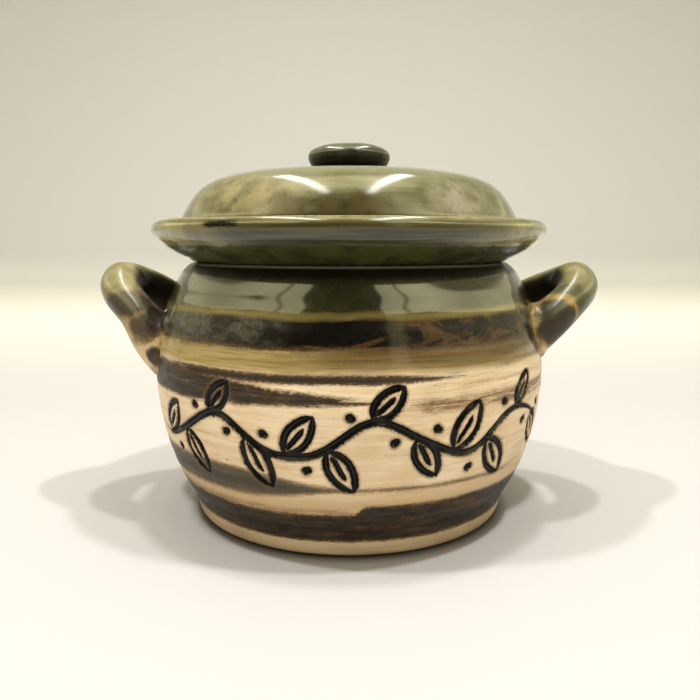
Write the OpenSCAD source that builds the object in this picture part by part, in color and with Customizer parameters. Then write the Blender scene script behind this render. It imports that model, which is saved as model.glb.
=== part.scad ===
// Lard crock: a wheel-thrown stoneware pot with two ear handles, closed by a domed lid.
// The lid has a dished flange, a button knob on its crown and a collar that drops into the mouth.
// Millimetres, +Z up. The origin is the middle of the foot, on the surface that the crock stands on.

/* [Pot] */
// Height of the pot, from the foot to the flat of the rim
pot_height = 74; // [70:0.5:80]
// Radius of the belly at its widest
belly_radius = 58; // [55:0.5:63]
// Height of the widest part of the belly
belly_height = 43; // [39:0.5:47]
// Angle at which the shoulder runs in to the rim, from upright
shoulder_lean = 60; // [50:1:70]
// Radius of the mouth
mouth_radius = 41; // [38:0.25:44]
// Width of the flat rim that the lid sits on, from the mouth out
rim_width = 5.5; // [4.5:0.25:6.5]
// Thickness of the thrown wall
wall = 6; // [4.5:0.25:7]
// Thickness of the floor
floor_thickness = 7; // [5:0.25:9]
// Radius of the flat middle of the floor inside
floor_flat_radius = 28; // [20:1:34]

/* [Foot] */
// Radius of the foot where it stands
foot_radius = 45.5; // [43:0.25:46.5]
// Width of the bevel round the foot
foot_bevel = 0.8; // [0.4:0.1:1.6]
// Radius at the top of the trimmed band above the foot
band_radius = 48.6; // [47.5:0.1:50]
// Height of the trimmed band
band_height = 8.4; // [6:0.2:11]
// How far the trimming tool cut the band back from the belly
trim_step = 0.5; // [0.2:0.1:1]
// Radius of the shallow hollow trimmed under the foot
foot_hollow_radius = 35; // [28:0.5:39]
// Depth of the hollow under the foot
foot_hollow_depth = 1.2; // [0.6:0.1:2.5]

/* [Handles] */
// How far the outside of a handle stands out past the belly
handle_projection = 17.5; // [14:0.25:22]
// How far the top of a handle lies below the rim
handle_drop = 0; // [-3:0.5:3]
// Thickness of the clay coil at the crown of the loop
handle_thickness = 14; // [11:0.25:15]
// Thickness of the coil half way down its limbs
handle_limb_thickness = 10.75; // [9:0.25:13]
// Distance between the middles of a handle's two roots
handle_span = 34; // [30:0.5:40]
// How far below the rim the left handle's two roots sit on the shoulder
left_root_drop = 13.5; // [12:0.5:17]
// How far below the rim the right handle's two roots sit on the shoulder
right_root_drop = 15.5; // [12:0.5:17]
// How far the left handle's limbs sag down the wall at their ends
left_sag = 8.5; // [0:0.5:10]
// How far the right handle's limbs sag down the wall at their ends
right_sag = 1.5; // [0:0.5:10]
// Angle by which the left handle was set on out of level, higher at the back
left_roll = 8; // [-10:0.5:10]
// Angle by which the right handle was set on out of level, higher at the back
right_roll = 5; // [-10:0.5:10]
// Extra spread of the clay where a root is pressed on to the wall
root_flare = 1.1; // [0.5:0.1:3]
// Extra length of the tail that is thumbed down the wall under a root
root_tail = 1; // [0.5:0.25:4]
// Thickness of the slip that sticks a handle to the wall
slip_joint = 0.1; // [0.05:0.05:0.3]

/* [Lid] */
// Height of the lid above the rim, up to its crown
lid_height = 26.1; // [23:0.1:31]
// How far the edge of the lid's flat seat lies inside the edge of the rim
seat_inset = 1.3; // [0.9:0.1:2.5]
// How far the flange reaches out past the belly
flange_overhang = 0; // [-2:0.25:4]
// Height of the flange's lip above the rim
lip_height = 12; // [10:0.2:14]
// Radius of the rounded lip
lip_round = 3; // [2:0.1:3.5]
// Depth of the gutter between the lip and the dome
gutter_depth = 3.4; // [2:0.1:4.5]
// Distance from the edge of the flange in to the foot of the dome
dome_inset = 8.4; // [7.5:0.1:10.5]
// Thickness of the lid's wall
lid_wall = 5; // [4:0.25:6]
// Wall of the collar that keeps the lid in the mouth
collar_wall = 4.2; // [3:0.1:6]
// Depth of the collar below the rim
collar_depth = 6; // [4:0.25:9]
// Play between the collar and the mouth
collar_play = 0.8; // [0.4:0.1:1.5]

/* [Knob] */
// Radius of the knob at its widest
knob_radius = 12.3; // [11:0.1:15]
// Height of the knob
knob_height = 8.5; // [7:0.1:11]
// Height of the knob's widest part above the crown
knob_waist = 4.7; // [3:0.1:5.5]
// Radius of the face that the knob stands on
knob_foot_radius = 7.6; // [6:0.1:9]

/* [Hidden] */
$fn = 128;
// Straight pieces that each curve of a profile is drawn with
curve_steps = 14;
// Rings along half of a handle, and sides round its coil
handle_rings = 12;
handle_sides = 18;

// Pulls that give the thrown curves their fullness, as shares of what each curve spans
shoulder_pulls = [0.45, 0.2];
flank_pulls = [0.29, 0.38];
bowl_pull = 0.6;
underside_pulls = [[0.45, 0.16], [1, 0.45]];
dome_pulls = [[-0.43, 0.85], 0.81];
neck_pulls = [0.5, 0.6];
gutter_pulls = [0.5, 0.35, 0.6];
knob_pulls = [0.55, 0.52, 0.56, 0.65];
// Angle of the flank where it leaves the trimmed band, from upright
flank_lean = 31;
// Rounded inner edge of the mouth, and the height of its upright throat
mouth_round = 1;
throat = 4;
// Rounding of the collar's lower edges
collar_round = 1.4;
// How far out from the dome to the lip the gutter is deepest, as a share
gutter_share = 0.27;
// Flat left on the crown round the knob's foot
crown_margin = 1;
// Sharpness with which a handle's flare and tail set in towards its roots
flare_power = 4;
// Sharpness with which a limb's sag sets in towards its root
sag_power = 2.6;
// Length of coil run on past a root before it is cut to the wall
root_overrun = 4.5;

crown = pot_height + lid_height;
rim_radius = mouth_radius + rim_width;
handle_reach = belly_radius + handle_projection;
handle_top = pot_height - handle_drop;
seat_radius = rim_radius - seat_inset;
flange_radius = belly_radius + flange_overhang;
dome_radius = flange_radius - dome_inset;
band_top = [band_radius + trim_step, band_height];
belly = [belly_radius, belly_height];
rim = [rim_radius, pot_height];
mouth_edge = [mouth_radius + mouth_round, pot_height - mouth_round];
collar_radius = mouth_radius - collar_play;
collar_bore = collar_radius - collar_wall;
lip = [flange_radius - lip_round, pot_height + lip_height];
nose = lip - [0, lip_round];
dome_foot = [dome_radius, lip.y];

// Profile of the pot's outside above and below the belly
shoulder = [
    belly,
    belly + [0, shoulder_pulls[0] * (pot_height - belly_height)],
    rim + shoulder_pulls[1] * (pot_height - belly_height) * [sin(shoulder_lean), -cos(shoulder_lean)],
    rim
];
flank = [
    band_top,
    band_top + flank_pulls[0] * (belly_height - band_height) * [sin(flank_lean), cos(flank_lean)],
    belly - [0, flank_pulls[1] * (belly_height - band_height)],
    belly
];

// Point at share t of a cubic curve with the four control points p
function bezier(p, t) =
    pow(1 - t, 3) * p[0] + 3 * pow(1 - t, 2) * t * p[1] + 3 * (1 - t) * t * t * p[2] + pow(t, 3) * p[3];
// Unit direction of that curve at share t
function heading(p, t) =
    let (d = pow(1 - t, 2) * (p[1] - p[0]) + 2 * (1 - t) * t * (p[2] - p[1]) + t * t * (p[3] - p[2]))
    d / norm(d);
// Points along a curve, moved to its left by inset
function curve(p, inset = 0) = [
    for (i = [0:curve_steps])
        let (t = i / curve_steps, h = heading(p, t))
        bezier(p, t) + inset * [-h.y, h.x]
];
// Points along a quarter round about a centre, from the angle start
function quarter(centre, radius, start, turn = 90) = [
    for (i = [0:curve_steps / 2])
        let (a = start + turn * 2 * i / curve_steps)
        centre + radius * [cos(a), sin(a)]
];
// Share of a rising curve at which it reaches height z, by halving
function share_at(p, z, low = 0, high = 1, halvings = 30) =
    let (middle = (low + high) / 2)
    halvings == 0 ? middle
    : bezier(p, middle).y < z ? share_at(p, z, middle, high, halvings - 1)
    : share_at(p, z, low, middle, halvings - 1);
// Radius of the pot's outer wall at height z
function wall_radius(z) =
    let (side = z > belly_height ? shoulder : flank)
    bezier(side, share_at(side, z)).x;

// Outline of the pot's outside, filled to the axis, with its wall grown by skin
module pot_outside(skin = 0) {
    polygon(concat(
        [[0, 0], [foot_radius, 0], [foot_radius + foot_bevel, foot_bevel], [band_radius, band_height]],
        curve(flank, -skin),
        curve(shoulder, -skin),
        [[0, pot_height]]
    ));
}

// Outline of the room inside the pot, up through the mouth
module pot_inside() {
    inner_belly = belly - [wall, 0];
    bowl = [
        [floor_flat_radius, floor_thickness],
        [band_radius - wall / 2, floor_thickness],
        inner_belly - [0, bowl_pull * (belly_height - floor_thickness)],
        inner_belly
    ];
    polygon(concat(
        [[0, floor_thickness]],
        curve(bowl),
        curve(shoulder, wall),
        [[mouth_radius, pot_height - throat]],
        quarter(mouth_edge, mouth_round, 180, -90),
        [[0, pot_height]]
    ));
}

module pot_body() {
    color("#b7a274")
    rotate_extrude()
    difference() {
        pot_outside();
        pot_inside();
        translate([0, -foot_hollow_depth])
        square([foot_hollow_radius, 2 * foot_hollow_depth]);
    }
}

// Clay coil bent into an ear on the +X side, tilted up and outwards, and cut to sit on the wall
module ear_handle(root_drop, sag, roll) {
    half_span = handle_span / 2;
    root_height = pot_height - root_drop;
    root = [sqrt(pow(wall_radius(root_height), 2) - pow(half_span, 2)), 0, root_height];
    apex = [handle_reach - handle_thickness / 2, 0, handle_top - handle_thickness / 2];
    rise = apex - root;
    out = rise / norm(rise);
    along = [0, cos(roll), sin(roll)];
    square_up = cross(out, along);
    up = square_up / norm(square_up);
    // Middle line: half an ellipse that sags towards both ends
    loop = [
        for (i = [-handle_rings:handle_rings])
            let (a = 90 * i / handle_rings, n = abs(i) / handle_rings)
            root + half_span * sin(a) * along + cos(a) * rise - [0, 0, sag * pow(n, sag_power)]
    ];
    // The line run on into the wall at each end
    line = concat([loop[0] - root_overrun * out], loop, [loop[len(loop) - 1] - root_overrun * out]);
    count = len(line);
    // How near ring i is to a root, from 0 at the crown to 1
    function nearness(i) = abs(2 * i / (count - 1) - 1);
    // Half thickness of the coil: slim on the limbs, with a flare at the wall
    function girth(i) =
        let (n = nearness(i), slim = sin(90 * min(1, 2 * n)) * (handle_thickness - handle_limb_thickness))
        (handle_thickness - slim) / 2 + root_flare * pow(n, flare_power);
    function tail(i) = root_tail * pow(nearness(i), flare_power);
    function tangent(i) =
        let (d = line[min(i + 1, count - 1)] - line[max(i - 1, 0)])
        d / norm(d);
    rings = [
        for (i = [0:count - 1])
            let (
                sideways = cross(tangent(i), up),
                across = sideways / norm(sideways),
                over = cross(across, tangent(i))
            )
            for (k = [0:handle_sides - 1])
                let (a = 360 * k / handle_sides)
                line[i] + girth(i) * (cos(a) * across + sin(a) * over) + min(0, sin(a)) * tail(i) * over
    ];
    sides = [
        for (i = [0:count - 2])
            for (k = [0:handle_sides - 1])
                let (
                    a = i * handle_sides + k,
                    b = i * handle_sides + (k + 1) % handle_sides
                )
                for (face = [[a, b, b + handle_sides], [a, b + handle_sides, a + handle_sides]]) face
    ];
    first = [for (k = [handle_sides - 1:-1:0]) k];
    last = [for (k = [0:handle_sides - 1]) (count - 1) * handle_sides + k];
    difference() {
        polyhedron(rings, concat([first, last], sides));
        rotate_extrude() pot_outside(slip_joint);
    }
}

module left_handle() {
    color("#7a7047")
    mirror([1, 0, 0])
    ear_handle(left_root_drop, left_sag, left_roll);
}

module right_handle() {
    color("#7a7047")
    ear_handle(right_root_drop, right_sag, right_roll);
}

// Curve of a dome from its foot to a flat middle of radius land
function dome_curve(foot, top, land) = [
    foot,
    foot + (top - foot.y) * dome_pulls[0],
    [dome_pulls[1] * foot.x, top],
    [land, top]
];

// Outline of the lid's outside, filled to the axis: seat, flange, lip, gutter and dome
module lid_outside() {
    flange_width = flange_radius - seat_radius;
    seat = [seat_radius, pot_height];
    gutter = [dome_radius + gutter_share * (lip.x - dome_radius), lip.y - gutter_depth];
    underside = [
        seat,
        seat + [underside_pulls[0].x * flange_width, underside_pulls[0].y * lip_height],
        seat + [underside_pulls[1].x * flange_width, underside_pulls[1].y * lip_height],
        nose + [lip_round, 0]
    ];
    lip_side = [
        lip,
        lip - [gutter_pulls[0] * (lip.x - gutter.x), 0],
        gutter + [gutter_pulls[1] * (lip.x - gutter.x), 0],
        gutter
    ];
    dome_side = [
        gutter,
        gutter - [gutter_pulls[2] * (gutter.x - dome_radius), 0],
        dome_foot - [0, gutter_pulls[2] * gutter_depth],
        dome_foot
    ];
    polygon(concat(
        [[0, pot_height]],
        curve(underside),
        quarter(nose, lip_round, 0),
        curve(lip_side),
        curve(dome_side),
        curve(dome_curve(dome_foot, crown, knob_foot_radius + crown_margin)),
        [[0, crown]]
    ));
}

// Outline of the hollow under the dome, down through the seat
module lid_inside() {
    hollow_foot = dome_foot - [lid_wall, 0];
    neck = [
        [collar_bore, pot_height],
        [collar_bore, pot_height + neck_pulls[0] * lip_height],
        hollow_foot - [0, neck_pulls[1] * lip_height],
        hollow_foot
    ];
    polygon(concat(
        [[0, pot_height]],
        curve(neck),
        curve(dome_curve(hollow_foot, crown - lid_wall, 0))
    ));
}

module lid() {
    color("#81825a")
    rotate_extrude()
    difference() {
        lid_outside();
        lid_inside();
    }
}

// Ring stuck under the lid, rounded at its lower edges
module lid_collar() {
    low = pot_height - collar_depth + collar_round;
    color("#c2a97c")
    rotate_extrude()
    polygon(concat(
        [[collar_bore, pot_height]],
        quarter([collar_bore + collar_round, low], collar_round, 180),
        quarter([collar_radius - collar_round, low], collar_round, 270),
        [[collar_radius, pot_height]]
    ));
}

// Flattened button of clay on the crown
module lid_knob() {
    waist = [knob_radius, crown + knob_waist];
    top = crown + knob_height;
    under = [
        [knob_foot_radius, crown],
        [knob_foot_radius + knob_pulls[0] * (knob_radius - knob_foot_radius), crown],
        waist - [0, knob_pulls[1] * knob_waist],
        waist
    ];
    over = [
        waist,
        waist + [0, knob_pulls[2] * (knob_height - knob_waist)],
        [knob_pulls[3] * knob_radius, top],
        [0, top]
    ];
    color("#2d3328")
    rotate_extrude()
    polygon(concat([[0, crown]], curve(under), curve(over)));
}

pot_body();
left_handle();
right_handle();
lid();
lid_collar();
lid_knob();
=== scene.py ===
import math

import bpy
import numpy as np
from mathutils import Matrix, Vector


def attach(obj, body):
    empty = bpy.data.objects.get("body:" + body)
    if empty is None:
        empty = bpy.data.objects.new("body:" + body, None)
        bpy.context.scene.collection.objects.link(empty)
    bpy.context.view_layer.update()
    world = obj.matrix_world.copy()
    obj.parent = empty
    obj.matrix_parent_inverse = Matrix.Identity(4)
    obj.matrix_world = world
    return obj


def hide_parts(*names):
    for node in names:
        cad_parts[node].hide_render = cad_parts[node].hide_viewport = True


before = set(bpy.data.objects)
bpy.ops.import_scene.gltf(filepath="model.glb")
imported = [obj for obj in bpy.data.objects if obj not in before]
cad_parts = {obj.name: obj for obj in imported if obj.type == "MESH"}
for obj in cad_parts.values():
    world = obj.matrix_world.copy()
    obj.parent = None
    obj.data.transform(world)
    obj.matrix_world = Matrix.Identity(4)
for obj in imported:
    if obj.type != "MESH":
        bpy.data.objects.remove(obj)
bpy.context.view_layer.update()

# Lard crock: a glazed stoneware pot with ear handles and a domed lid.
# Sizes are in millimetres and turn into metres as each mesh is made. A pair is a radius and a height.
MM = 0.001

# Pot
POT_HEIGHT = 74.0
BELLY = (58.0, 43.0)
RIM_RADIUS = 46.5
MOUTH_RADIUS = 41.0
MOUTH_ROUND = 1.0
MOUTH_DEPTH = 4.0
WALL = 6.0
FLOOR = 7.0
FLOOR_FLAT = 28.0
FOOT_RADIUS = 45.5
FOOT_EDGE = ((-0.7, 0.0), (0.1, 0.3), (0.75, 1.1), (1.12, 1.95))
FOOT_HOLLOW = (35.0, 1.2)
FOOT_HOLLOW_FLARE = 0.4
BAND_TOP = (48.6, 8.4)
TRIM_STEP = 0.5
FLANK_LEAN = math.radians(31)
SHOULDER_LEAN = math.radians(60)
# How far each end of a curve holds its direction, as a share of the curve's height
FLANK_HOLD = (0.29, 0.38)
SHOULDER_HOLD = (0.45, 0.2)
BOWL_HOLD = 0.6

# Marks of the potter's hands, which stay within the plain form on the outside
POT_SOFTNESS = 0.35
POT_SKIN = 0.16
POT_SWAY = 0.14
RING_DEPTH = 0.09
RING_PITCH = 4.6
INNER_RING_DEPTH = 0.22
INNER_RING_PITCH = 5.2

# Carved vine, whose places are given along the belly and up
CARVED_FROM = 15.5
CARVED_TO = 50.5
CARVED_RADIUS = 49.0
CARVED_TURN = math.radians(70)
VINE_RADIUS = 57.0
VINE_ENDS = (-66.0, 64.0)
VINE_HEIGHT = 33.4
VINE_WAVE = 43.0
VINE_SWING = 4.6
STEM_WIDTH = 1.05
FIRST_LEAF = -58.0
LAST_LEAF = 60.0
LEAF_PITCH = 10.6
LEAF_LENGTH = 13.0
LEAF_TILT = 58.0
LEAF_SWELL = 0.34
LEAF_WIDTH = 0.98
LEAF_LOWEST = 20.2
LEAF_HIGHEST = 46.6
BERRY_STEP = 5.2
BERRY_DROP = 3.9
BERRY_WIDTH = 1.15
GROOVE_DEPTH = 1.05
BURR_HEIGHT = 0.16
FAR_FROM_CUTS = 9.0

# Handles
HANDLE_REACH = 75.5
HANDLE_TOP = 74.0
HANDLE_THICKNESS = 14.0
LIMB_THICKNESS = 10.75
HANDLE_SPAN = 34.0
ROOT_FLARE = 1.1
ROOT_TAIL = 1.0
ROOT_OVERRUN = 4.5
SAG_POWER = 2.6
FLARE_POWER = 4
SQUEEZE = 0.12
SMEAR = 1.0
SMEAR_REACH = 3.0
PRESSED_DEPTH = 0.55
# Places along a limb run from 0 at the crown to 1 at the root, each with its width
THUMB_DENT = (0.6, 0.16)
ROOT_SWELL = (0.93, 0.13)
AT_WALL = 12 / 13

# Lid
CROWN = 100.1
SEAT_RADIUS = 45.2
FLANGE_RADIUS = 58.0
LIP_HEIGHT = 12.0
LIP_ROUND = 3.0
GUTTER_DEPTH = 3.4
GUTTER_SHARE = 0.27
DOME_RADIUS = 49.6
DOME_LEAN = np.array([-0.43, 0.85])
DOME_FLAT = 0.81
LID_WALL = 5.0
LID_SOFTNESS = 0.25
LID_SKIN = 0.1
LID_SWAY = 0.12
LID_RING_DEPTH = 0.07
LID_RING_PITCH = 6.5
LIP_SWAY = 0.3

# Collar and knob
COLLAR_RADIUS = 40.2
COLLAR_BORE = 36.0
COLLAR_DEPTH = 6.0
COLLAR_ROUND = 1.4
COLLAR_SWAY = 0.1
KNOB_RADIUS = 12.3
KNOB_HEIGHT = 8.5
KNOB_WAIST = 4.7
KNOB_FOOT = 7.6
KNOB_SOFTNESS = 0.25
KNOB_SWAY = 0.24

# Fineness of the meshes: gaps between points along a profile, and points round the wheel
GAP_UNDER_FOOT = 3.0
GAP_CARVED = 0.36
GAP_OUTSIDE = 0.8
GAP_INSIDE = 2.2
POT_OUTSIDE_SHARE = 0.52
GAP_LID = 0.7
GAP_UNDER_LID = 2.0
LID_TOP_PLAIN = 40.0
UNDER_LID_PLAIN = 12.0
LID_UNDER_SHARE = 0.4
POT_FRONT_STEPS = 132
POT_CARVED_FINENESS = 3
POT_BACK_STEPS = 122
LID_STEPS = 288
COLLAR_GAP = 0.6
COLLAR_STEPS = 160
KNOB_GAP = 0.5
KNOB_STEPS = 112
LOOP_STEPS = 121
OVERRUN_STEPS = 8
COIL_SIDES = 64
TINY = 1e-6


# Drawing profiles

def bezier(a, b, c, d, steps=40):
    t = np.linspace(0, 1, steps)[:, None]
    a, b, c, d = (np.asarray(p, float) for p in (a, b, c, d))
    return (1 - t) ** 3 * a + 3 * (1 - t) ** 2 * t * b + 3 * (1 - t) * t * t * c + t ** 3 * d


def round_edge(centre, radius, start, steps=12):
    """A quarter turn that starts at this many degrees."""
    a = np.radians(np.linspace(start, start + 90, steps))
    return np.stack([centre[0] + radius * np.cos(a), centre[1] + radius * np.sin(a)], -1)


def leaning(angle):
    return np.array([math.sin(angle), math.cos(angle)])


def lengths_along(line):
    return np.r_[0, np.cumsum(np.linalg.norm(np.diff(line, axis=0), axis=1))]


def softened(line, softness):
    """The profile with its corners worn round over about this many millimetres and its ends on the axis."""
    run = lengths_along(line)
    step = 0.1
    at = np.arange(0, run[-1], step)
    fine = np.stack([np.interp(at, run, line[:, k]) for k in (0, 1)], -1)
    reach = max(1, int(3 * softness / step))
    weight = np.exp(-0.5 * (np.arange(-reach, reach + 1) * step / softness) ** 2)
    weight /= weight.sum()
    before = 2 * fine[0] - fine[reach:0:-1]
    after = 2 * fine[-1] - fine[-2:-reach - 2:-1]
    around = np.vstack([before, fine, after])
    worn = np.stack([np.convolve(around[:, k], weight, "valid") for k in (0, 1)], -1)
    worn[0, 0] = worn[-1, 0] = 0
    return worn


def spaced(line, gap):
    """Points along the profile, gap(radius, height, share) millimetres apart."""
    run = lengths_along(line)
    points, at = [], 0.0
    while at < run[-1]:
        r, z = (np.interp(at, run, line[:, k]) for k in (0, 1))
        points.append((r, z, at / run[-1]))
        at += gap(r, z, at / run[-1])
    points.append((line[-1, 0], line[-1, 1], 1.0))
    return np.array(points)


def facing(points):
    """Outward direction at each point of a profile that is walked with the clay on its left."""
    along = np.gradient(points[:, :2], axis=0)
    along /= np.maximum(np.linalg.norm(along, axis=1), 1e-9)[:, None]
    return np.stack([along[:, 1], -along[:, 0]], -1)


def hand_waves(seed, count, least, most):
    """Slow unevenness round the wheel: a function of angle and height, from -1 to 1."""
    draw = np.random.RandomState(seed)
    turns = draw.randint(least, most + 1, count)
    climb = draw.uniform(-0.25, 0.25, count)
    start = draw.uniform(0, 2 * math.pi, count)
    size = draw.uniform(0.4, 1.0, count)
    size /= size.sum()

    def wave(angle, height):
        total = 0.0
        for n, c, s, w in zip(turns, climb, start, size):
            total = total + w * np.sin(n * angle + c * height + s)
        return total
    return wave


def ease(value, low, high):
    t = np.clip((np.asarray(value, float) - low) / (high - low), 0, 1)
    return t * t * (3 - 2 * t)


# Making meshes. A row is its first point's number, its angles and its place across the sheet.

def turn_share(angles, j):
    """How far round the wheel point j of a row lies, from 0 to 1."""
    return (angles[j] + math.pi) / (2 * math.pi) if j < len(angles) else 1.0


def fan(ring, pole):
    """Corners of the triangles between a row and a point on the axis."""
    first, angles, v = ring
    count = len(angles)
    for j in range(count):
        u0, u1 = turn_share(angles, j), turn_share(angles, j + 1)
        yield [(first + j, u0, v), (first + (j + 1) % count, u1, v), (pole[0], (u0 + u1) / 2, pole[2])]


def strip(fine, coarse):
    """Corners of the faces between two rows: each wide step meets the fine points between its ends."""
    first, angles, v = fine
    wide_first, wide_angles, wide_v = coarse
    count, wide_count = len(angles), len(wide_angles)
    ends = np.append(np.searchsorted(angles, wide_angles - 1e-9), count)
    for j in range(wide_count):
        after = wide_first + (j + 1) % wide_count
        corners = [(first + k % count, turn_share(angles, k), v) for k in range(ends[j], ends[j + 1] + 1)]
        corners.append((after, turn_share(wide_angles, j + 1), wide_v))
        corners.append((wide_first + j, turn_share(wide_angles, j), wide_v))
        yield corners


def between(low, high):
    if len(low[1]) == 1:
        return [corners[::-1] for corners in fan(high, low)]
    if len(high[1]) == 1:
        return fan(low, high)
    if len(low[1]) >= len(high[1]):
        return strip(low, high)
    return [corners[::-1] for corners in strip(high, low)]


def turned(name, points, angles_of, shape, closed=False, marks=None):
    """A piece thrown on the wheel: each profile point swept round the axis.

    angles_of(row) lists the angles used on that row. shape(angles, row) gives a move
    along the surface's outward direction. marks(angles, row) gives named values for each point.
    """
    out = facing(points)
    rows, places, values = [], [], {}
    count = 0
    for i, (r, z, share) in enumerate(points):
        on_axis = r <= TINY
        angles = np.zeros(1) if on_axis else angles_of(i)
        move = np.zeros(1) if on_axis else shape(angles, i)
        radius = r + out[i, 0] * move
        height = z + out[i, 1] * move
        places.append(np.stack([radius * np.sin(angles), -radius * np.cos(angles), height], -1))
        for key, value in (marks(angles, i) if marks else {}).items():
            values.setdefault(key, []).append(value)
        rows.append((count, angles, share))
        count += len(angles)
    pairs = list(zip(rows, rows[1:]))
    if closed:
        pairs.append((rows[-1], (*rows[0][:2], 1.0)))
    faces, sheet = [], []
    for low, high in pairs:
        for corners in between(low, high):
            faces.append([c[0] for c in corners])
            sheet.append([c[1:] for c in corners])
    values = {key: np.concatenate(rows_of_values) for key, rows_of_values in values.items()}
    return piece_from(name, np.vstack(places), faces, sheet, values)


def piece_from(name, places, faces, sheet=None, values=None):
    mesh = bpy.data.meshes.new(name)
    mesh.from_pydata((np.asarray(places) * MM).tolist(), [], faces)
    mesh.update()
    mesh.shade_smooth()
    if sheet is not None:
        layer = mesh.uv_layers.new(name="OFBake")
        layer.data.foreach_set("uv", np.array([c for face in sheet for c in face], np.float32).ravel())
    for key, value in (values or {}).items():
        mesh.attributes.new(key, "FLOAT", "POINT").data.foreach_set("value", np.asarray(value, np.float32))
    piece = bpy.data.objects.new(name, mesh)
    bpy.context.scene.collection.objects.link(piece)
    return piece


def even_angles(count):
    return np.linspace(-math.pi, math.pi, count, endpoint=False)


# Pot profile, walked from the middle of the foot up the outside and down the inside

belly = np.array(BELLY)
rim = np.array([RIM_RADIUS, POT_HEIGHT])
flank_foot = np.array([BAND_TOP[0] + TRIM_STEP, BAND_TOP[1]])
flank_rise = BELLY[1] - BAND_TOP[1]
shoulder_fall = POT_HEIGHT - BELLY[1]
flank = bezier(
    flank_foot,
    flank_foot + FLANK_HOLD[0] * flank_rise * leaning(FLANK_LEAN),
    belly - [0, FLANK_HOLD[1] * flank_rise],
    belly,
)
shoulder = bezier(
    belly,
    belly + [0, SHOULDER_HOLD[0] * shoulder_fall],
    rim + SHOULDER_HOLD[1] * shoulder_fall * leaning(SHOULDER_LEAN) * [1, -1],
    rim,
)
outside = np.vstack([flank, shoulder[1:]])


def wall_radius(height):
    return np.interp(height, outside[:, 1], outside[:, 0])


inner_shoulder = shoulder - WALL * facing(shoulder)
bowl = bezier(
    (FLOOR_FLAT, FLOOR),
    (BAND_TOP[0] - WALL / 2, FLOOR),
    (BELLY[0] - WALL, BELLY[1] - BOWL_HOLD * (BELLY[1] - FLOOR)),
    (BELLY[0] - WALL, BELLY[1]),
)
pot_line = softened(np.vstack([
    [(0, FOOT_HOLLOW[1]), FOOT_HOLLOW, (FOOT_HOLLOW[0] + FOOT_HOLLOW_FLARE, 0)],
    [(FOOT_RADIUS + out, up) for out, up in FOOT_EDGE],
    [BAND_TOP],
    outside,
    round_edge((MOUTH_RADIUS + MOUTH_ROUND, POT_HEIGHT - MOUTH_ROUND), MOUTH_ROUND, 90),
    [(MOUTH_RADIUS, POT_HEIGHT - MOUTH_DEPTH)],
    inner_shoulder[::-1],
    bowl[::-1][1:],
    [(0, FLOOR)],
]), POT_SOFTNESS)
pot_line[:, 1] = np.clip(pot_line[:, 1], 0, POT_HEIGHT)


def pot_gap(r, z, share):
    if r < FOOT_RADIUS - 1.5 and z < 3:
        return GAP_UNDER_FOOT
    if share < POT_OUTSIDE_SHARE:
        carved = CARVED_FROM - 1 < z < CARVED_TO + 1 and r > CARVED_RADIUS
        return GAP_CARVED if carved else GAP_OUTSIDE
    return GAP_OUTSIDE if z > POT_HEIGHT - COLLAR_DEPTH else GAP_INSIDE


pot_points = spaced(pot_line, pot_gap)
rim_row = int(np.argmax(pot_points[:, 1] > POT_HEIGHT - 0.02))
pot_outer = np.arange(len(pot_points)) < rim_row
fine_front = np.linspace(-CARVED_TURN, CARVED_TURN, POT_CARVED_FINENESS * POT_FRONT_STEPS + 1)
round_back = np.linspace(CARVED_TURN, 2 * math.pi - CARVED_TURN, POT_BACK_STEPS)[1:-1]
back_right = round_back[round_back <= math.pi]
back_left = round_back[round_back > math.pi] - 2 * math.pi
fine_angles = np.r_[back_left, fine_front, back_right]
coarse_angles = np.r_[back_left, fine_front[::POT_CARVED_FINENESS], back_right]


def carved_row(i):
    r, z, _ = pot_points[i]
    return pot_outer[i] and CARVED_FROM < z < CARVED_TO and r > CARVED_RADIUS


def pot_angles(i):
    return fine_angles if carved_row(i) else coarse_angles


# Cuts of the vine: each is its points and its half width at each point

def cut(points, width, ends=0.35):
    """A cut that narrows at both ends to this share of its width."""
    line = np.asarray(points, float)
    run = lengths_along(line) / lengths_along(line)[-1]
    taper = np.minimum(1, ends + (1 - ends) * np.minimum(run, 1 - run) / 0.16)
    return line, width * taper


def leaf(foot, tip, swell, width):
    """Two curved cuts that meet at a point, with a short rib between them."""
    run = tip - foot
    side = np.array([-run[1], run[0]])

    def half(bulge):
        return bezier(foot, foot + 0.25 * run + bulge * side, tip - 0.3 * run + 0.8 * bulge * side, tip, 24)

    rib = bezier(
        foot + 0.12 * run,
        foot + 0.3 * run + 0.03 * side,
        foot + 0.5 * run - 0.03 * side,
        foot + 0.68 * run,
        12,
    )
    return [cut(half(swell), width), cut(half(-swell), 0.92 * width), cut(rib, 0.75 * width)]


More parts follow.
